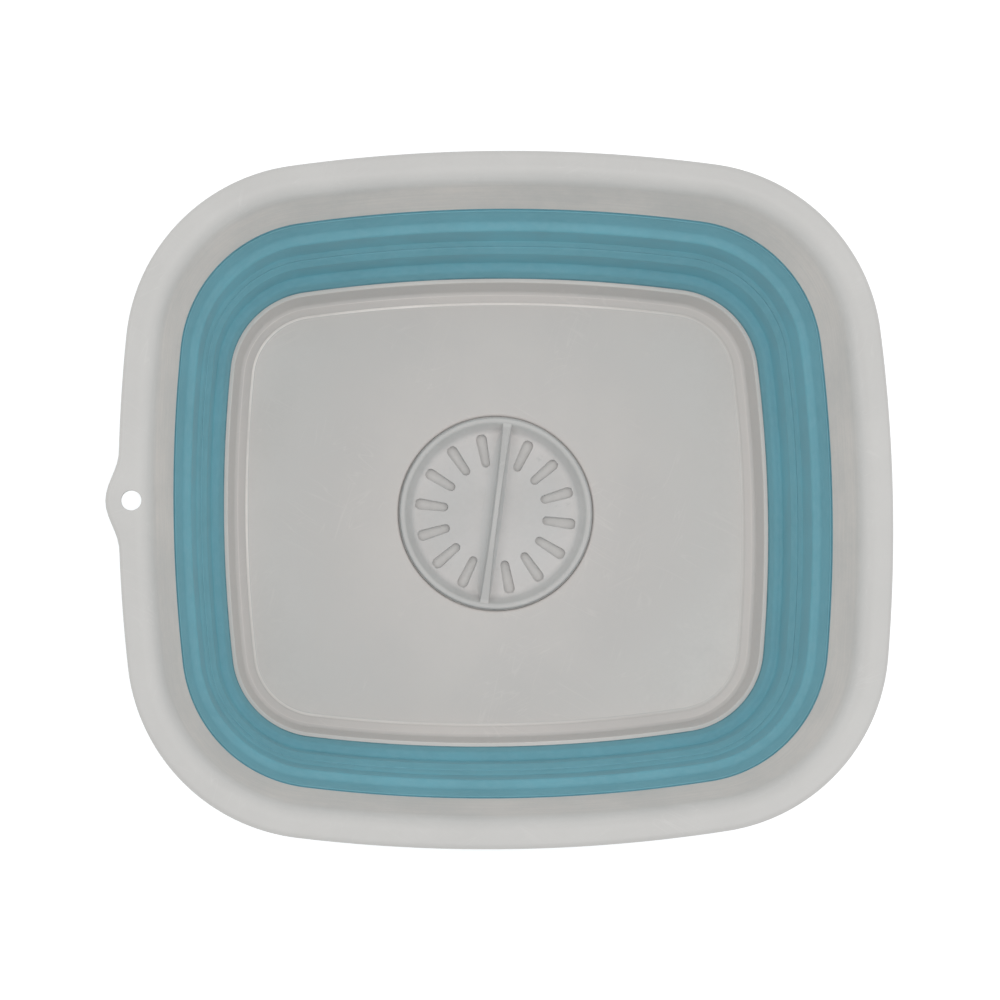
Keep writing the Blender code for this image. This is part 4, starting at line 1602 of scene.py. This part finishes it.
@dataclass
class SlotFan:
    """The two fans of tapered slots that the disc, the gasket and the seat share."""

    per_side: int = 7
    pitch: float = math.radians(24)
    disc_turn: float = math.radians(-8.2)
    seat_turn: float = math.radians(-8.2 + 12)
    inner_centre: float = 27.4 * MM
    outer_centre: float = 40 * MM
    inner_radius: float = 2.2 * MM
    outer_radius: float = 2.8 * MM
    end_steps: int = 14
    edge_turn: float = math.radians(78)
    edge_steps: int = 6
    edge_lift: float = 0.1

    def outline(self, angle: float, margin: float, height: float) -> Ring:
        """One slot's outline, grown by a margin.

        Args:
            angle: Where the slot points.
            margin: How much the outline is grown.
            height: Height of the outline.

        Returns:
            Its points.
        """
        along = Vector((math.cos(angle), math.sin(angle), 0))
        rise = self.outer_radius - self.inner_radius
        taper = math.asin(rise / (self.outer_centre - self.inner_centre))
        ends = (
            (self.outer_centre, self.outer_radius, -math.pi / 2 - taper, math.pi + 2 * taper),
            (self.inner_centre, self.inner_radius, math.pi / 2 + taper, math.pi - 2 * taper),
        )
        points: Ring = []
        for centre, radius, start, sweep in ends:
            for step in range(self.end_steps + 1):
                turn = angle + start + sweep * step / self.end_steps
                spoke = Vector((math.cos(turn), math.sin(turn), 0)) * (radius + margin)
                points.append(along * centre + spoke + Vector((0, 0, height)))
        return points

    def cutter(
        self, turn: float, margin: float, foot: float, top: float, edge: float
    ) -> bpy.types.Mesh:
        """Cutters for every slot, opening out at the top in a rounded edge.

        Args:
            turn: Turn of the whole pattern.
            margin: How much wider than the pattern the slots are.
            foot: Height of the cutters' foot.
            top: Height of the face that they cut.
            edge: Radius of the rounded edge at that face, or 0.

        Returns:
            The cutters as one mesh.
        """
        levels = [(foot, margin), (top - edge, margin)]
        spread = 0.0
        if edge:
            steps = range(1, self.edge_steps + 1)
            turns = [self.edge_turn * step / self.edge_steps for step in steps]
            levels += [
                (top - edge + edge * math.sin(t), margin + edge * (1 - math.cos(t)))
                for t in turns
            ]
            spread = RUN_OUT * math.tan(turns[-1])
        height, width = levels[-1]
        levels.append((height + RUN_OUT + edge * self.edge_lift, width + spread))
        prisms = []
        for side in (0, math.pi):
            for index in range(self.per_side):
                angle = turn + side + (index - (self.per_side - 1) / 2) * self.pitch
                rings = [self.outline(angle, wider, height) for height, wider in levels]
                prisms.append(loft("slot", rings, closed=False))
        return together("slots", prisms)


@dataclass
class BaseTray:
    """Grey tray: beaded floor, wall, drain well with its slotted seat, ribs and bosses."""

    plan: Plan
    stack: Stack
    slots: SlotFan
    floor: float = 15 * MM
    under_floor: float = 12.5 * MM
    foot: float = 2 * MM
    bead_height: float = 0.4 * MM
    bead_width: float = 2.4 * MM
    bead_crest: float = 2 * MM
    bead_blend: float = 1 * MM
    border_rise: float = 0.12 * MM
    floor_lap: float = 2 * MM
    fillet_run: float = 5 * MM
    ledge_width: float = 1.5 * MM
    ledge_edge: float = 0.45 * MM
    wall_run: float = 3.3 * MM
    fillet: float = 7 * MM
    lap_shelf: float = 1.7 * MM
    lap_chamfer: float = 2 * MM
    lap_root: float = 0.3 * MM
    shelf_edge: float = 0.5 * MM
    foot_run: float = 3.8 * MM
    foot_edge: float = 0.6 * MM
    under_fillet: float = 2 * MM
    wall: float = 2.4 * MM
    well_radius: float = 51.25 * MM
    well_wall: float = 2.2 * MM
    well_edge: float = 1.7 * MM
    well_lap: float = 1.5 * MM
    well_root: float = 0.8 * MM
    well_foot_edge: float = 0.6 * MM
    seat_top: float = 6.9 * MM
    seat_foot: float = 4.7 * MM
    seat_root: float = 0.2 * MM
    hub_radius: float = 5.3 * MM
    hub_edge: float = 0.3 * MM
    root_depth: float = 1.2 * MM
    rib_depth: float = 3 * MM
    rib_width: float = 1.6 * MM
    rib_edge: float = 0.25 * MM
    rib_fillet: float = 0.7 * MM
    rib_shares: tuple[float, ...] = (0.36, 0.46, 0.5, 0.72, 0.72)
    boss_radius: float = 5.1 * MM
    boss_foot: float = 2.7 * MM
    boss_edge: float = 0.4 * MM
    bore_radius: float = 3.3 * MM
    bore_top: float = 7.3 * MM
    foot_inset: float = 66.5 * MM
    floor_rings: int = 7
    round_steps: int = 48

    @property
    def floor_edge(self) -> float:
        """Inset of the flat floor's edge, inside the low bead round it."""
        run = self.ledge_width + self.wall_run + self.fillet_run
        return self.stack.lower_seam_inset + run + self.bead_width

    @property
    def root(self) -> float:
        """Height inside the floor's thickness at which ribs and bosses start."""
        return self.under_floor + self.root_depth

    @property
    def foot_places(self) -> list[Vector]:
        """Place the four feet on the diagonals of the corner arcs.

        Returns:
            The feet's centres.
        """
        reach = (self.plan.corner_radius - self.foot_inset) * math.sqrt(0.5)
        across = self.plan.corner.x + reach
        along = self.plan.corner.y + reach
        return [Vector((x, y, 0)) for x in (across, -across) for y in (along, -along)]

    def shell_section(self) -> Profile:
        """Floor's edge, bead, wall, ledge, tongue, outer wall, foot and underside.

        Returns:
            The open section, from the floor's edge to the underside.
        """
        stack = self.stack
        ledge = stack.lower_seam_inset + self.ledge_width
        wall_foot = ledge + self.wall_run
        lap_run = stack.lower_lap * stack.lower_slope
        inside = stack.lower_seam_inset - stack.lap_cover - stack.gap
        outside = stack.lower_seam_inset - stack.band_wall
        wall_top = outside + self.lap_shelf
        wall_top_height = stack.lower_seam - self.lap_chamfer
        skirt = wall_top + self.foot_run
        border = self.floor + self.border_rise
        crest = self.floor_edge - self.bead_width / 2
        rise = (self.under_floor - self.foot) / (wall_top_height - self.foot)
        under_wall = skirt + self.wall - self.foot_run * rise
        lap_top = stack.lower_seam + stack.lower_lap
        return rounded(
            [
                Corner(self.floor_edge + self.floor_lap, self.floor),
                Corner(self.floor_edge, self.floor, self.bead_blend),
                Corner(crest, self.floor + self.bead_height, self.bead_crest),
                Corner(self.floor_edge - self.bead_width, border, self.bead_blend),
                Corner(wall_foot, border, self.fillet),
                Corner(ledge, stack.lower_seam, self.ledge_edge),
                Corner(inside, stack.lower_seam),
                Corner(inside - lap_run, lap_top),
                Corner(outside - lap_run, lap_top),
                Corner(outside, stack.lower_seam, self.lap_root),
                Corner(wall_top, wall_top_height, self.shelf_edge),
                Corner(skirt, self.foot, self.foot_edge),
                Corner(skirt + self.wall, self.foot, self.foot_edge),
                Corner(under_wall, self.under_floor, self.under_fillet),
                Corner(self.floor_edge + self.floor_lap, self.under_floor),
            ],
            closed=False,
        )

    def well_section(self) -> Profile:
        """Underside of the well and seat, the hub's bore, the seat and the well's wall.

        Returns:
            The open section of (radius, height), from the underside to the floor.
        """
        out = self.well_radius + self.well_wall
        return rounded(
            [
                Corner(out + self.well_lap, self.under_floor),
                Corner(out, self.under_floor, self.well_root),
                Corner(out, self.seat_foot, self.well_foot_edge),
                Corner(self.hub_radius, self.seat_foot, self.hub_edge),
                Corner(self.hub_radius, self.seat_top, self.hub_edge),
                Corner(self.well_radius, self.seat_top, self.seat_root),
                Corner(self.well_radius, self.floor, self.well_edge),
                Corner(self.well_radius + 3 * self.well_edge, self.floor),
            ],
            closed=False,
        )

    def shell(self) -> bpy.types.Mesh:
        """The tray's body in one loft, whose rings run from the outline to circles and back.

        Returns:
            The mesh.
        """
        well = self.well_section()
        shell = self.shell_section()
        rings = [self.plan.line(inset, height) for inset, height in shell]
        shares = [step / self.floor_rings for step in range(1, self.floor_rings)]
        for share in shares:
            rings.append(self.plan.between(well[0].x, shell[-1].x, 1 - share, self.under_floor))
        rings += [self.plan.circle(radius, height) for radius, height in well]
        for share in shares:
            rings.append(self.plan.between(well[-1].x, shell[0].x, share, self.floor))
        return loft("tray", rings)

    def rib(self, end: Vector) -> bpy.types.Mesh:
        """One upright rib under the floor, thinner at its free edge.

        Args:
            end: Where the rib ends; it starts in the well's wall and points there.

        Returns:
            The rib's mesh.
        """
        along = end.normalized()
        across = Vector((-along.y, along.x, 0))
        start = along * (self.well_radius + self.well_wall / 2)
        foot = self.under_floor - self.rib_depth
        fillet = self.under_floor - self.rib_fillet
        heights = (foot, foot + self.rib_edge, fillet, self.under_floor, self.root)
        rings = [
            [
                corner + across * self.rib_width * share * side + Vector((0, 0, height))
                for corner, side in ((start, -1), (end, -1), (end, 1), (start, 1))
            ]
            for height, share in zip(heights, self.rib_shares)
        ]
        return loft("rib", rings, closed=False)

    def build(self, bench: Workbench, finish: bpy.types.Material) -> None:
        """Build the tray with its ribs, bosses, bores and slots, and place it.

        Args:
            bench: Where the piece goes.
            finish: The grey plastic.
        """
        skirt = self.stack.lower_seam_inset - self.stack.band_wall + self.lap_shelf + self.wall
        ends = self.foot_places
        half_length = self.plan.length / 2 + self.plan.end_stretch - skirt
        ends += [Vector((side * half_length, 0, 0)) for side in (1, -1)]
        ends += [Vector((0, side * (self.plan.width / 2 - skirt), 0)) for side in (1, -1)]
        boss = rounded(
            [
                Corner(0, self.root),
                Corner(self.boss_radius, self.root),
                Corner(self.boss_radius, self.boss_foot, self.boss_edge),
                Corner(0, self.boss_foot),
            ],
            closed=False,
        )
        bore = rounded(
            [
                Corner(0, self.bore_top),
                Corner(self.bore_radius, self.bore_top),
                Corner(self.bore_radius, self.boss_foot - OVERRUN),
                Corner(0, self.boss_foot - OVERRUN),
            ],
            closed=False,
        )
        mesh = merged(self.shell(), together("ribs", [self.rib(end) for end in ends]), Join.ADD)
        for profile, join in ((boss, Join.ADD), (bore, Join.CUT)):
            rounds = [
                shifted(lathe("round", profile, self.round_steps), Matrix.Translation(place))
                for place in self.foot_places
            ]
            mesh = merged(mesh, together("rounds", rounds), join)
        foot = self.seat_foot - OVERRUN
        cutter = self.slots.cutter(self.slots.seat_turn, 0.0, foot, self.seat_top, 0.0)
        mesh = merged(mesh, cutter, Join.CUT)
        bench.put(Piece("tray_moulding", mesh, finish, Slot.HARD, Body.BASE, ("base_tray",)))


@dataclass
class DrainDisc:
    """Dished disc with a rolled lip, two fans of slots and a waisted grip bar across it."""

    slots: SlotFan
    floor: float = 10.1 * MM
    underside: float = 8.3 * MM
    crown: float = 16.4 * MM
    lip_foot: float = 11.8 * MM
    floor_radius: float = 43.6 * MM
    crown_radius: float = 48.1 * MM
    lip_radius: float = 50.65 * MM
    lip_wall: float = 1.6 * MM
    dish_fillet: float = 4 * MM
    crown_fillet: float = 2.3 * MM
    lip_fillet: float = 1.2 * MM
    under_lip_fillet: float = 0.4 * MM
    under_dish_fillet: float = 0.8 * MM
    edge: float = 0.3 * MM
    boss_radius: float = 5 * MM
    boss_foot: float = 4.6 * MM
    boss_fillet: float = 0.5 * MM
    pilot_radius: float = 1.8 * MM
    pilot_top: float = 9.3 * MM
    bar_width: float = 5 * MM
    bar_waist: float = 2.9 * MM
    bar_drop: float = 0.5 * MM
    bar_edge: float = 0.8 * MM
    bar_reach: float = 47.8 * MM
    bar_end_spread: float = 0.4 * MM
    bar_root_spreads: tuple[float, float] = (1.9 * MM, 5.4 * MM)
    bar_stations: int = 60
    bar_edge_steps: int = 5
    flank_steps: int = 12
    steps: int = 192
    pilot_steps: int = 48

    def profile(self) -> Profile:
        """Top of the dish, over the rolled lip, along the underside and down the boss.

        Returns:
            Points of (radius, height), from axis to axis.
        """
        slope = (self.crown_radius - self.floor_radius) / (self.crown - self.floor)
        inside = self.lip_radius - self.lip_wall
        under_crown = self.crown - 2 * self.lip_wall
        under_radius = self.floor_radius + slope * (under_crown - self.underside)
        under_floor = self.floor_radius + self.lip_wall / 2
        return rounded(
            [
                Corner(0, self.floor),
                Corner(self.floor_radius, self.floor, self.dish_fillet),
                Corner(self.crown_radius, self.crown, self.crown_fillet),
                Corner(self.lip_radius, self.crown, self.lip_fillet),
                Corner(self.lip_radius, self.lip_foot, self.edge),
                Corner(inside, self.lip_foot, self.edge),
                Corner(inside, under_crown, self.edge),
                Corner(under_radius + self.lip_wall / 2, under_crown, self.under_lip_fillet),
                Corner(under_floor, self.underside, self.under_dish_fillet),
                Corner(self.boss_radius, self.underside, self.boss_fillet),
                Corner(self.boss_radius, self.boss_foot, self.edge),
                Corner(0, self.boss_foot),
            ],
            closed=False,
        )

    def _flank(self, half: float, spread: float) -> list[tuple[float, float]]:
        """Half of the bar's section, from its top down a concave flank.

        Args:
            half: Half the bar's width at its top.
            spread: How much farther out the flank's foot stands.

        Returns:
            Points of (across, height).
        """
        top = self.crown - self.bar_drop
        depth = top - self.floor
        edge = min(self.bar_edge, half)
        steps = self.bar_edge_steps
        turns = [math.pi / 2 * step / steps for step in range(steps + 1)]
        points = [
            (half - edge + edge * math.sin(t), top - edge + edge * math.cos(t)) for t in turns
        ]
        steps = self.flank_steps
        shares = [
            edge / depth + (1 - edge / depth) * step / steps for step in range(1, steps + 1)
        ]
        points += [(half + spread * share**3, top - depth * share) for share in shares]
        return [*points, (half + spread, (self.floor + self.underside) / 2)]

    def bar(self) -> bpy.types.Mesh:
        """The grip bar along Y, waisted at its middle, with one narrow and one wide flank.

        Returns:
            The bar's mesh.
        """
        rings = []
        for station in range(self.bar_stations + 1):
            along = 2 * station / self.bar_stations - 1
            middle = 1 - along**2
            half = (self.bar_width - (self.bar_width - self.bar_waist) * middle) / 2
            right, left = [
                self._flank(half, self.bar_end_spread + spread * middle)
                for spread in self.bar_root_spreads
            ]
            section = right + [(-across, height) for across, height in reversed(left)]
            reach = along * self.bar_reach
            rings.append([Vector((across, reach, height)) for across, height in section])
        return loft("bar", rings, closed=False)

    def build(self, bench: Workbench, finish: bpy.types.Material) -> None:
        """Build the disc with its bar, slots and pilot hole, and place it.

        Args:
            bench: Where the piece goes.
            finish: The grey plastic.
        """
        pilot = rounded(
            [
                Corner(0, self.pilot_top),
                Corner(self.pilot_radius, self.pilot_top - self.pilot_radius),
                Corner(self.pilot_radius, self.boss_foot - OVERRUN),
                Corner(0, self.boss_foot - OVERRUN),
            ],
            closed=False,
        )
        foot = self.underside - OVERRUN
        cutter = self.slots.cutter(0.0, 0.0, foot, self.floor, self.edge)
        mesh = merged(lathe("disc", self.profile(), self.steps), self.bar(), Join.ADD)
        mesh = merged(mesh, cutter, Join.CUT)
        mesh = merged(mesh, lathe("pilot", pilot, self.pilot_steps), Join.CUT)
        mesh = shifted(mesh, Matrix.Rotation(self.slots.disc_turn, 4, "Z"))
        bench.put(Piece("drain_dish", mesh, finish, Slot.HARD, Body.DRAIN, ("drain_disc",)))


@dataclass
class DrainSeals:
    """The slotted gasket on the seat, and the ring under the disc's lip with its thin wiper."""

    slots: SlotFan
    foot: float = 7.2 * MM
    gasket_top: float = 8 * MM
    gasket_radius: float = 47.8 * MM
    gasket_edge: float = 0.2 * MM
    hub_radius: float = 5.3 * MM
    hub_edge: float = 0.15 * MM
    slot_margin: float = 0.3 * MM
    slot_edge: float = 0.2 * MM
    seal_radius: float = 51.15 * MM
    seal_width: float = 2.65 * MM
    seal_top: float = 11.5 * MM
    seal_fillet: float = 0.8 * MM
    seal_edge: float = 0.15 * MM
    wiper_edge: float = 0.1 * MM
    wiper_top: float = 14.2 * MM
    wiper_radii: tuple[float, float] = (50.75 * MM, 51.15 * MM)
    steps: int = 160

    def build(self, bench: Workbench, finish: bpy.types.Material) -> None:
        """Build the gasket and the ring, and place them.

        Args:
            bench: Where the pieces go.
            finish: The grey elastomer.
        """
        gasket = rounded(
            [
                Corner(self.hub_radius, self.gasket_top, self.hub_edge),
                Corner(self.gasket_radius, self.gasket_top, self.gasket_edge),
                Corner(self.gasket_radius, self.foot),
                Corner(self.hub_radius, self.foot),
            ]
        )
        inside = self.seal_radius - self.seal_width
        wiper_inside, wiper_outside = self.wiper_radii
        ring = rounded(
            [
                Corner(inside, self.seal_top, self.seal_fillet),
                Corner(wiper_inside, self.seal_top, self.wiper_edge),
                Corner(wiper_inside, self.wiper_top, self.wiper_edge),
                Corner(wiper_outside, self.wiper_top, self.wiper_edge),
                Corner(wiper_outside, self.foot, self.wiper_edge),
                Corner(inside, self.foot, self.seal_edge),
            ]
        )
        foot = self.foot - OVERRUN
        cutter = self.slots.cutter(
            self.slots.seat_turn, self.slot_margin, foot, self.gasket_top, self.slot_edge
        )
        sheet = merged(lathe("gasket", gasket, self.steps, closed=True), cutter, Join.CUT)
        seal = lathe("seal", ring, self.steps, closed=True)
        for name, mesh, node in (
            ("gasket_sheet", sheet, "valve_gasket"),
            ("lip_ring", seal, "lip_seal"),
        ):
            bench.put(Piece(name, mesh, finish, Slot.SEAL, Body.BASE, (node,)))


@dataclass
class Pivot:
    """Washer under the seat and the cross-head screw that holds the disc down."""

    washer_top: float = 4.3 * MM
    washer_foot: float = 3.3 * MM
    washer_radius: float = 9 * MM
    washer_bore: float = 2 * MM
    washer_edge: float = 0.25 * MM
    bore_edge: float = 0.15 * MM
    washer_steps: int = 96
    screw_seat: float = 3 * MM
    screw_tip: float = 9.2 * MM
    screw_radius: float = 1.5 * MM
    screw_root: float = 0.1 * MM
    tip_edge: float = 0.3 * MM
    head_radius: float = 3.4 * MM
    head_height: float = 1.4 * MM
    head_edge: float = 0.15 * MM
    head_crown: float = 0.75 * MM
    screw_steps: int = 72
    recess_width: float = 0.75 * MM
    recess_reach: float = 1.9 * MM
    recess_depth: float = 0.9 * MM
    recess_mouth: float = 0.3 * MM
    recess_shares: tuple[float, float] = (1.08, 0.62)

    def recess(self) -> bpy.types.Mesh:
        """The cross in the screw's head, narrower at its foot.

        Returns:
            The cutter's mesh.
        """
        face = self.screw_seat - self.head_height
        heights = (face - self.recess_mouth, face + self.recess_depth)
        rings = []
        for height, share in zip(heights, self.recess_shares):
            reach = self.recess_reach * share
            half = self.recess_width * share / 2
            arm = [(half, -half), (reach, -half), (reach, half)]
            ring = []
            for quarter in range(4):
                spin = Matrix.Rotation(quarter * math.pi / 2, 3, "Z")
                ring += [spin @ Vector((x, y, height)) for x, y in arm]
            rings.append(ring)
        return loft("recess", rings, closed=False)

    def build(
        self, bench: Workbench, plastic: bpy.types.Material, steel: bpy.types.Material
    ) -> None:
        """Build the washer and the screw, and place them.

        Args:
            bench: Where the pieces go.
            plastic: The washer's finish.
            steel: The screw's finish.
        """
        washer = rounded(
            [
                Corner(self.washer_bore, self.washer_top, self.bore_edge),
                Corner(self.washer_radius, self.washer_top, self.washer_edge),
                Corner(self.washer_radius, self.washer_foot, self.washer_edge),
                Corner(self.washer_bore, self.washer_foot, self.bore_edge),
            ]
        )
        face = self.screw_seat - self.head_height
        screw = rounded(
            [
                Corner(0, self.screw_tip),
                Corner(self.screw_radius, self.screw_tip - self.screw_radius, self.tip_edge),
                Corner(self.screw_radius, self.screw_seat, self.screw_root),
                Corner(self.head_radius, self.screw_seat, self.head_edge),
                Corner(self.head_radius, face, self.head_crown),
                Corner(0, face),
            ],
            closed=False,
        )
        body = merged(lathe("screw", screw, self.screw_steps), self.recess(), Join.CUT)
        disc = lathe("washer", washer, self.washer_steps, closed=True)
        for name, mesh, finish, slot, node in (
            ("washer_disc", disc, plastic, Slot.HARD, "pivot_washer"),
            ("screw_body", body, steel, Slot.STEEL, "pivot_screw"),
        ):
            bench.put(Piece(name, mesh, finish, slot, Body.DRAIN, (node,)))


@dataclass
class Feet:
    """Four soft buttons, each plugged by its stem into a boss."""

    tray: BaseTray
    radius: float = 7 * MM
    head: float = 2.4 * MM
    stem_radius: float = 3 * MM
    stem: float = 4.6 * MM
    stem_edge: float = 0.7 * MM
    stem_root: float = 0.3 * MM
    head_edge: float = 0.7 * MM
    sole_edge: float = 1.1 * MM
    steps: int = 64

    def build(self, bench: Workbench, finish: bpy.types.Material) -> None:
        """Build the feet, and place them where the nodes are.

        Args:
            bench: Where the pieces go.
            finish: The teal elastomer.
        """
        top = self.head + self.stem
        profile = rounded(
            [
                Corner(0, top),
                Corner(self.stem_radius, top, self.stem_edge),
                Corner(self.stem_radius, self.head, self.stem_root),
                Corner(self.radius, self.head, self.head_edge),
                Corner(self.radius, 0, self.sole_edge),
                Corner(0, 0),
            ],
            closed=False,
        )
        for place in self.tray.foot_places:
            node = self._node_at(place + bench.axis)
            mesh = shifted(lathe(node, profile, self.steps), Matrix.Translation(place))
            name = node.replace("pad", "button")
            bench.put(Piece(name, mesh, finish, Slot.SOFT, Body.BASE, (node,)))

    @staticmethod
    def _node_at(place: Vector) -> str:
        """The foot's node whose middle is nearest to a place."""
        names = [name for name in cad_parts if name.startswith("foot_pad")]
        return min(names, key=lambda name: (sum(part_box(name), Vector()) / 2 - place).xy.length)


# Studio


@dataclass(frozen=True)
class SoftLamp:
    """A round area lamp that looks at the table under the basin."""

    name: str
    power: float
    size: float
    place: tuple[float, float, float]

    def hang(self) -> None:
        """Make the lamp and hang it at its place."""
        lamp = bpy.data.lights.new(self.name, "AREA")
        lamp.energy = self.power
        lamp.shape = "DISK"
        lamp.size = self.size
        item = bpy.data.objects.new(self.name, lamp)
        item.location = self.place
        item.rotation_euler = Vector(self.place).to_track_quat("Z", "Y").to_euler()
        bpy.context.scene.collection.objects.link(item)


@dataclass
class Studio:
    """White floor and surroundings, soft lamps, and the camera above the basin."""

    axis: Vector
    camera_place: tuple[float, float, float] = (-0.0889, -0.1121, 1.6045)
    camera_turn: tuple[float, float, float] = (4.323, -3.223, -0.812)
    focal_pixels: float = 3030.7
    picture_pixels: float = 1000.0
    sensor: float = 36.0
    dome: float = 0.775
    lamps: tuple[SoftLamp, ...] = (
        SoftLamp("key_lamp", 2.4, 0.6, (0.3, -0.05, 1.7)),
        SoftLamp("fill_lamp", 3.2, 0.9, (-1.2, 0.3, 1.3)),
        SoftLamp("side_lamp", 2.4, 0.9, (1.2, 0.0, 1.3)),
    )
    clip: tuple[float, float] = (0.01, 100.0)
    floor_reach: float = 30.0
    floor_squares: int = 8
    floor: PaleFloor = field(default_factory=lambda: PaleFloor("pale_floor"))

    def build(self) -> None:
        """Set up the floor, the surroundings, the lamps, the camera and the colours' transform."""
        self._lay_floor()
        self._light()
        self._aim()
        bpy.context.scene.view_settings.view_transform = "Standard"

    def _lay_floor(self) -> None:
        """Lay a wide floor under the feet."""
        bm = bmesh.new()
        bmesh.ops.create_grid(
            bm,
            x_segments=self.floor_squares,
            y_segments=self.floor_squares,
            size=self.floor_reach,
        )
        floor = bpy.data.objects.new("floor", settled("floor", bm))
        floor.data.materials.append(self.floor.material())
        bpy.context.scene.collection.objects.link(floor)

    def _light(self) -> None:
        """Give the surroundings an even light, and hang the soft lamps."""
        world = bpy.data.worlds.new("surroundings")
        bpy.context.scene.world = world
        world.use_nodes = True
        graph = Graph(world.node_tree)
        strength = self.dome + (1 - self.dome) * graph.seen()
        shader = graph.add("ShaderNodeBackground", None, {"Color": WHITE, "Strength": strength})
        graph.add("ShaderNodeOutputWorld", None, {"Surface": shader.outputs[0]})
        for lamp in self.lamps:
            lamp.hang()

    def _aim(self) -> None:
        """Put the camera where the picture was taken from."""
        camera = bpy.data.cameras.new("camera")
        camera.sensor_width = self.sensor
        camera.lens = self.sensor * self.focal_pixels / self.picture_pixels
        camera.clip_start, camera.clip_end = self.clip
        item = bpy.data.objects.new("camera", camera)
        item.location = Vector(self.camera_place) + self.axis
        item.rotation_euler = [math.radians(angle) for angle in self.camera_turn]
        bpy.context.scene.collection.objects.link(item)
        bpy.context.scene.camera = item


def drain_axis() -> Vector:
    """The basin's upright axis, read from the drain disc's box.

    Returns:
        The point of the axis on the table.
    """
    low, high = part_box("drain_disc")
    return Vector(((low.x + high.x) / 2, 0, 0))


def main() -> None:
    """Build the sub-assemblies in order, from the rim down, then the studio."""
    logging.basicConfig(level=logging.INFO, format="%(message)s")
    axis = drain_axis()
    bench = Workbench(axis)
    plan = Plan()
    stack = Stack()
    slots = SlotFan()
    rim_grey = RimGrey("rim_grey").material()
    tray_grey = TrayGrey("tray_grey", axis_x=axis.x).material()
    disc_grey = DiscGrey("disc_grey", axis_x=axis.x).material()
    teal = SoftTeal("wall_teal").material()
    seal_grey = SealGrey("seal_grey").material()
    steel = BrushedSteel("screw_steel", axis_x=axis.x).material()
    tray = BaseTray(plan, stack, slots)

    RimFrame(plan, stack).build(bench, rim_grey)
    FoldingWall(plan, stack).build(bench, teal)
    tray.build(bench, tray_grey)
    DrainDisc(slots).build(bench, disc_grey)
    DrainSeals(slots).build(bench, seal_grey)
    Pivot().build(bench, disc_grey, steel)
    Feet(tray).build(bench, teal)
    Studio(axis).build()


if __name__ == "__main__":
    main()
